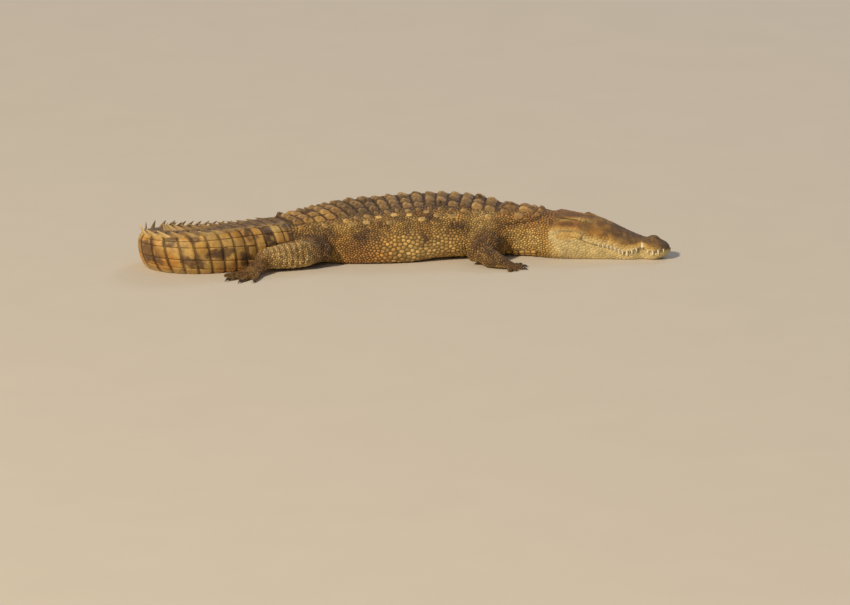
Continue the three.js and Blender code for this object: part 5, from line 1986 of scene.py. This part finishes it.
def claw_piece(name, root, angle, size):
    """A curved horn from rings round a line that drops to the floor."""
    forward, across = heading_way(angle), heading_way(angle + 90)
    around = angles(CLAW_SIDES)
    rings = []
    for share in CLAW_ALONG:
        radius = float(claw_radius(share)) * size
        middle = root + forward * share * size + (0, 0, float(claw_up(share)) * size)
        ring = middle + across * (CLAW_FLATNESS * radius * np.cos(around))[:, None]
        ring = ring + np.array([0, 0, 1.0]) * (radius * np.sin(around))[:, None]
        ring[:, 2] = np.maximum(ring[:, 2], 0.4)
        rings.append(ring)
    piece = closed_mesh(name + "_horn", rings)
    rise = np.append(np.repeat(CLAW_ALONG, CLAW_SIDES), (CLAW_ALONG[0], CLAW_ALONG[-1]))
    give(piece.data, "rise", rise)
    piece.data.materials.append(CLAW_HORN)
    piece.data.shade_smooth()
    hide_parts(name)
    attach(piece, "root")


for leg_name, leg in legs.items():
    for i, (root, angle, size) in enumerate(leg["claws"]):
        claw_piece(f"claw_{leg_name}_{i + 1}", root, angle, size)
print("claws:", sum(len(leg["claws"]) for leg in legs.values()))

# %% [markdown]
# ## The skin takes its place
#
# The skin stands for every node of flesh, so those solids are hidden and kept for collision.

# %% Replacing the flesh
flesh = [name for name in frame["nodes"] if not name.startswith(("eye_", "claw_"))]
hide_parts(*flesh)
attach(skin, "root")
print("the skin stands for", len(flesh), "nodes")

# %% [markdown]
# ## Studio
#
# The figure lies on a plain pale floor. The camera is far off and a little above, with a long lens, so that
# the animal is drawn almost without perspective. A broad warm light from the left and front models the
# scales, a faint cool one lifts the far edge, and the pale surroundings fill the shadows.

# %% Floor, light and camera
CAMERA_AT, CAMERA_LOOK, CAMERA_LENS = (0.108, -29.164, 7.034), (0, 0.9703, -0.2419), 293.8
HALF_FLOOR = 30
WORLD_STRENGTH = 0.34

floor_mesh = bpy.data.meshes.new("floor")
floor_corners = [(x * HALF_FLOOR, y * HALF_FLOOR, 0) for x, y in ((-1, -1), (1, -1), (1, 1), (-1, 1))]
floor_mesh.from_pydata(floor_corners, [], [(0, 1, 2, 3)])
floor = linked("floor", floor_mesh)
plaster = Shader("pale floor")
pale_floor = plaster.shade(colour(208, 198, 182), 0.97 + 0.06 * plaster.noise(3, 4))
floor_mesh.materials.append(plaster.finish(pale_floor, 0.85))

world = bpy.data.worlds.new("studio")
bpy.context.scene.world = world
world.use_nodes = True
background = world.node_tree.nodes["Background"].inputs
background["Color"].default_value = colour(226, 228, 232)
background["Strength"].default_value = WORLD_STRENGTH


def look_along(obj, at, way):
    obj.location = at
    obj.rotation_euler = Vector(way).to_track_quat("-Z", "Y").to_euler()


def area_light(name, at, aim, size, power, tint):
    light = bpy.data.lights.new(name, "AREA")
    light.shape, light.size, light.energy, light.color = "DISK", size, power, tint[:3]
    look_along(linked(name, light), at, Vector(aim) - Vector(at))


area_light("key", (-24, -28, 28), (0, -0.1, 0.1), 4.4, 20600, colour(255, 238, 210))
area_light("back", (8, 15, 12), (0, 0.2, 0.1), 6, 600, colour(222, 232, 255))

camera = linked("camera", bpy.data.cameras.new("camera"))
camera.data.lens = CAMERA_LENS
camera.data.clip_end = 200
look_along(camera, CAMERA_AT, CAMERA_LOOK)
bpy.context.scene.camera = camera
bpy.context.scene.view_settings.view_transform = "Standard"
print("camera at", CAMERA_AT)

# %% [markdown]
# ## The end
#
# At the end the scene is brought up to date.

# %% The end
bpy.context.view_layer.update()
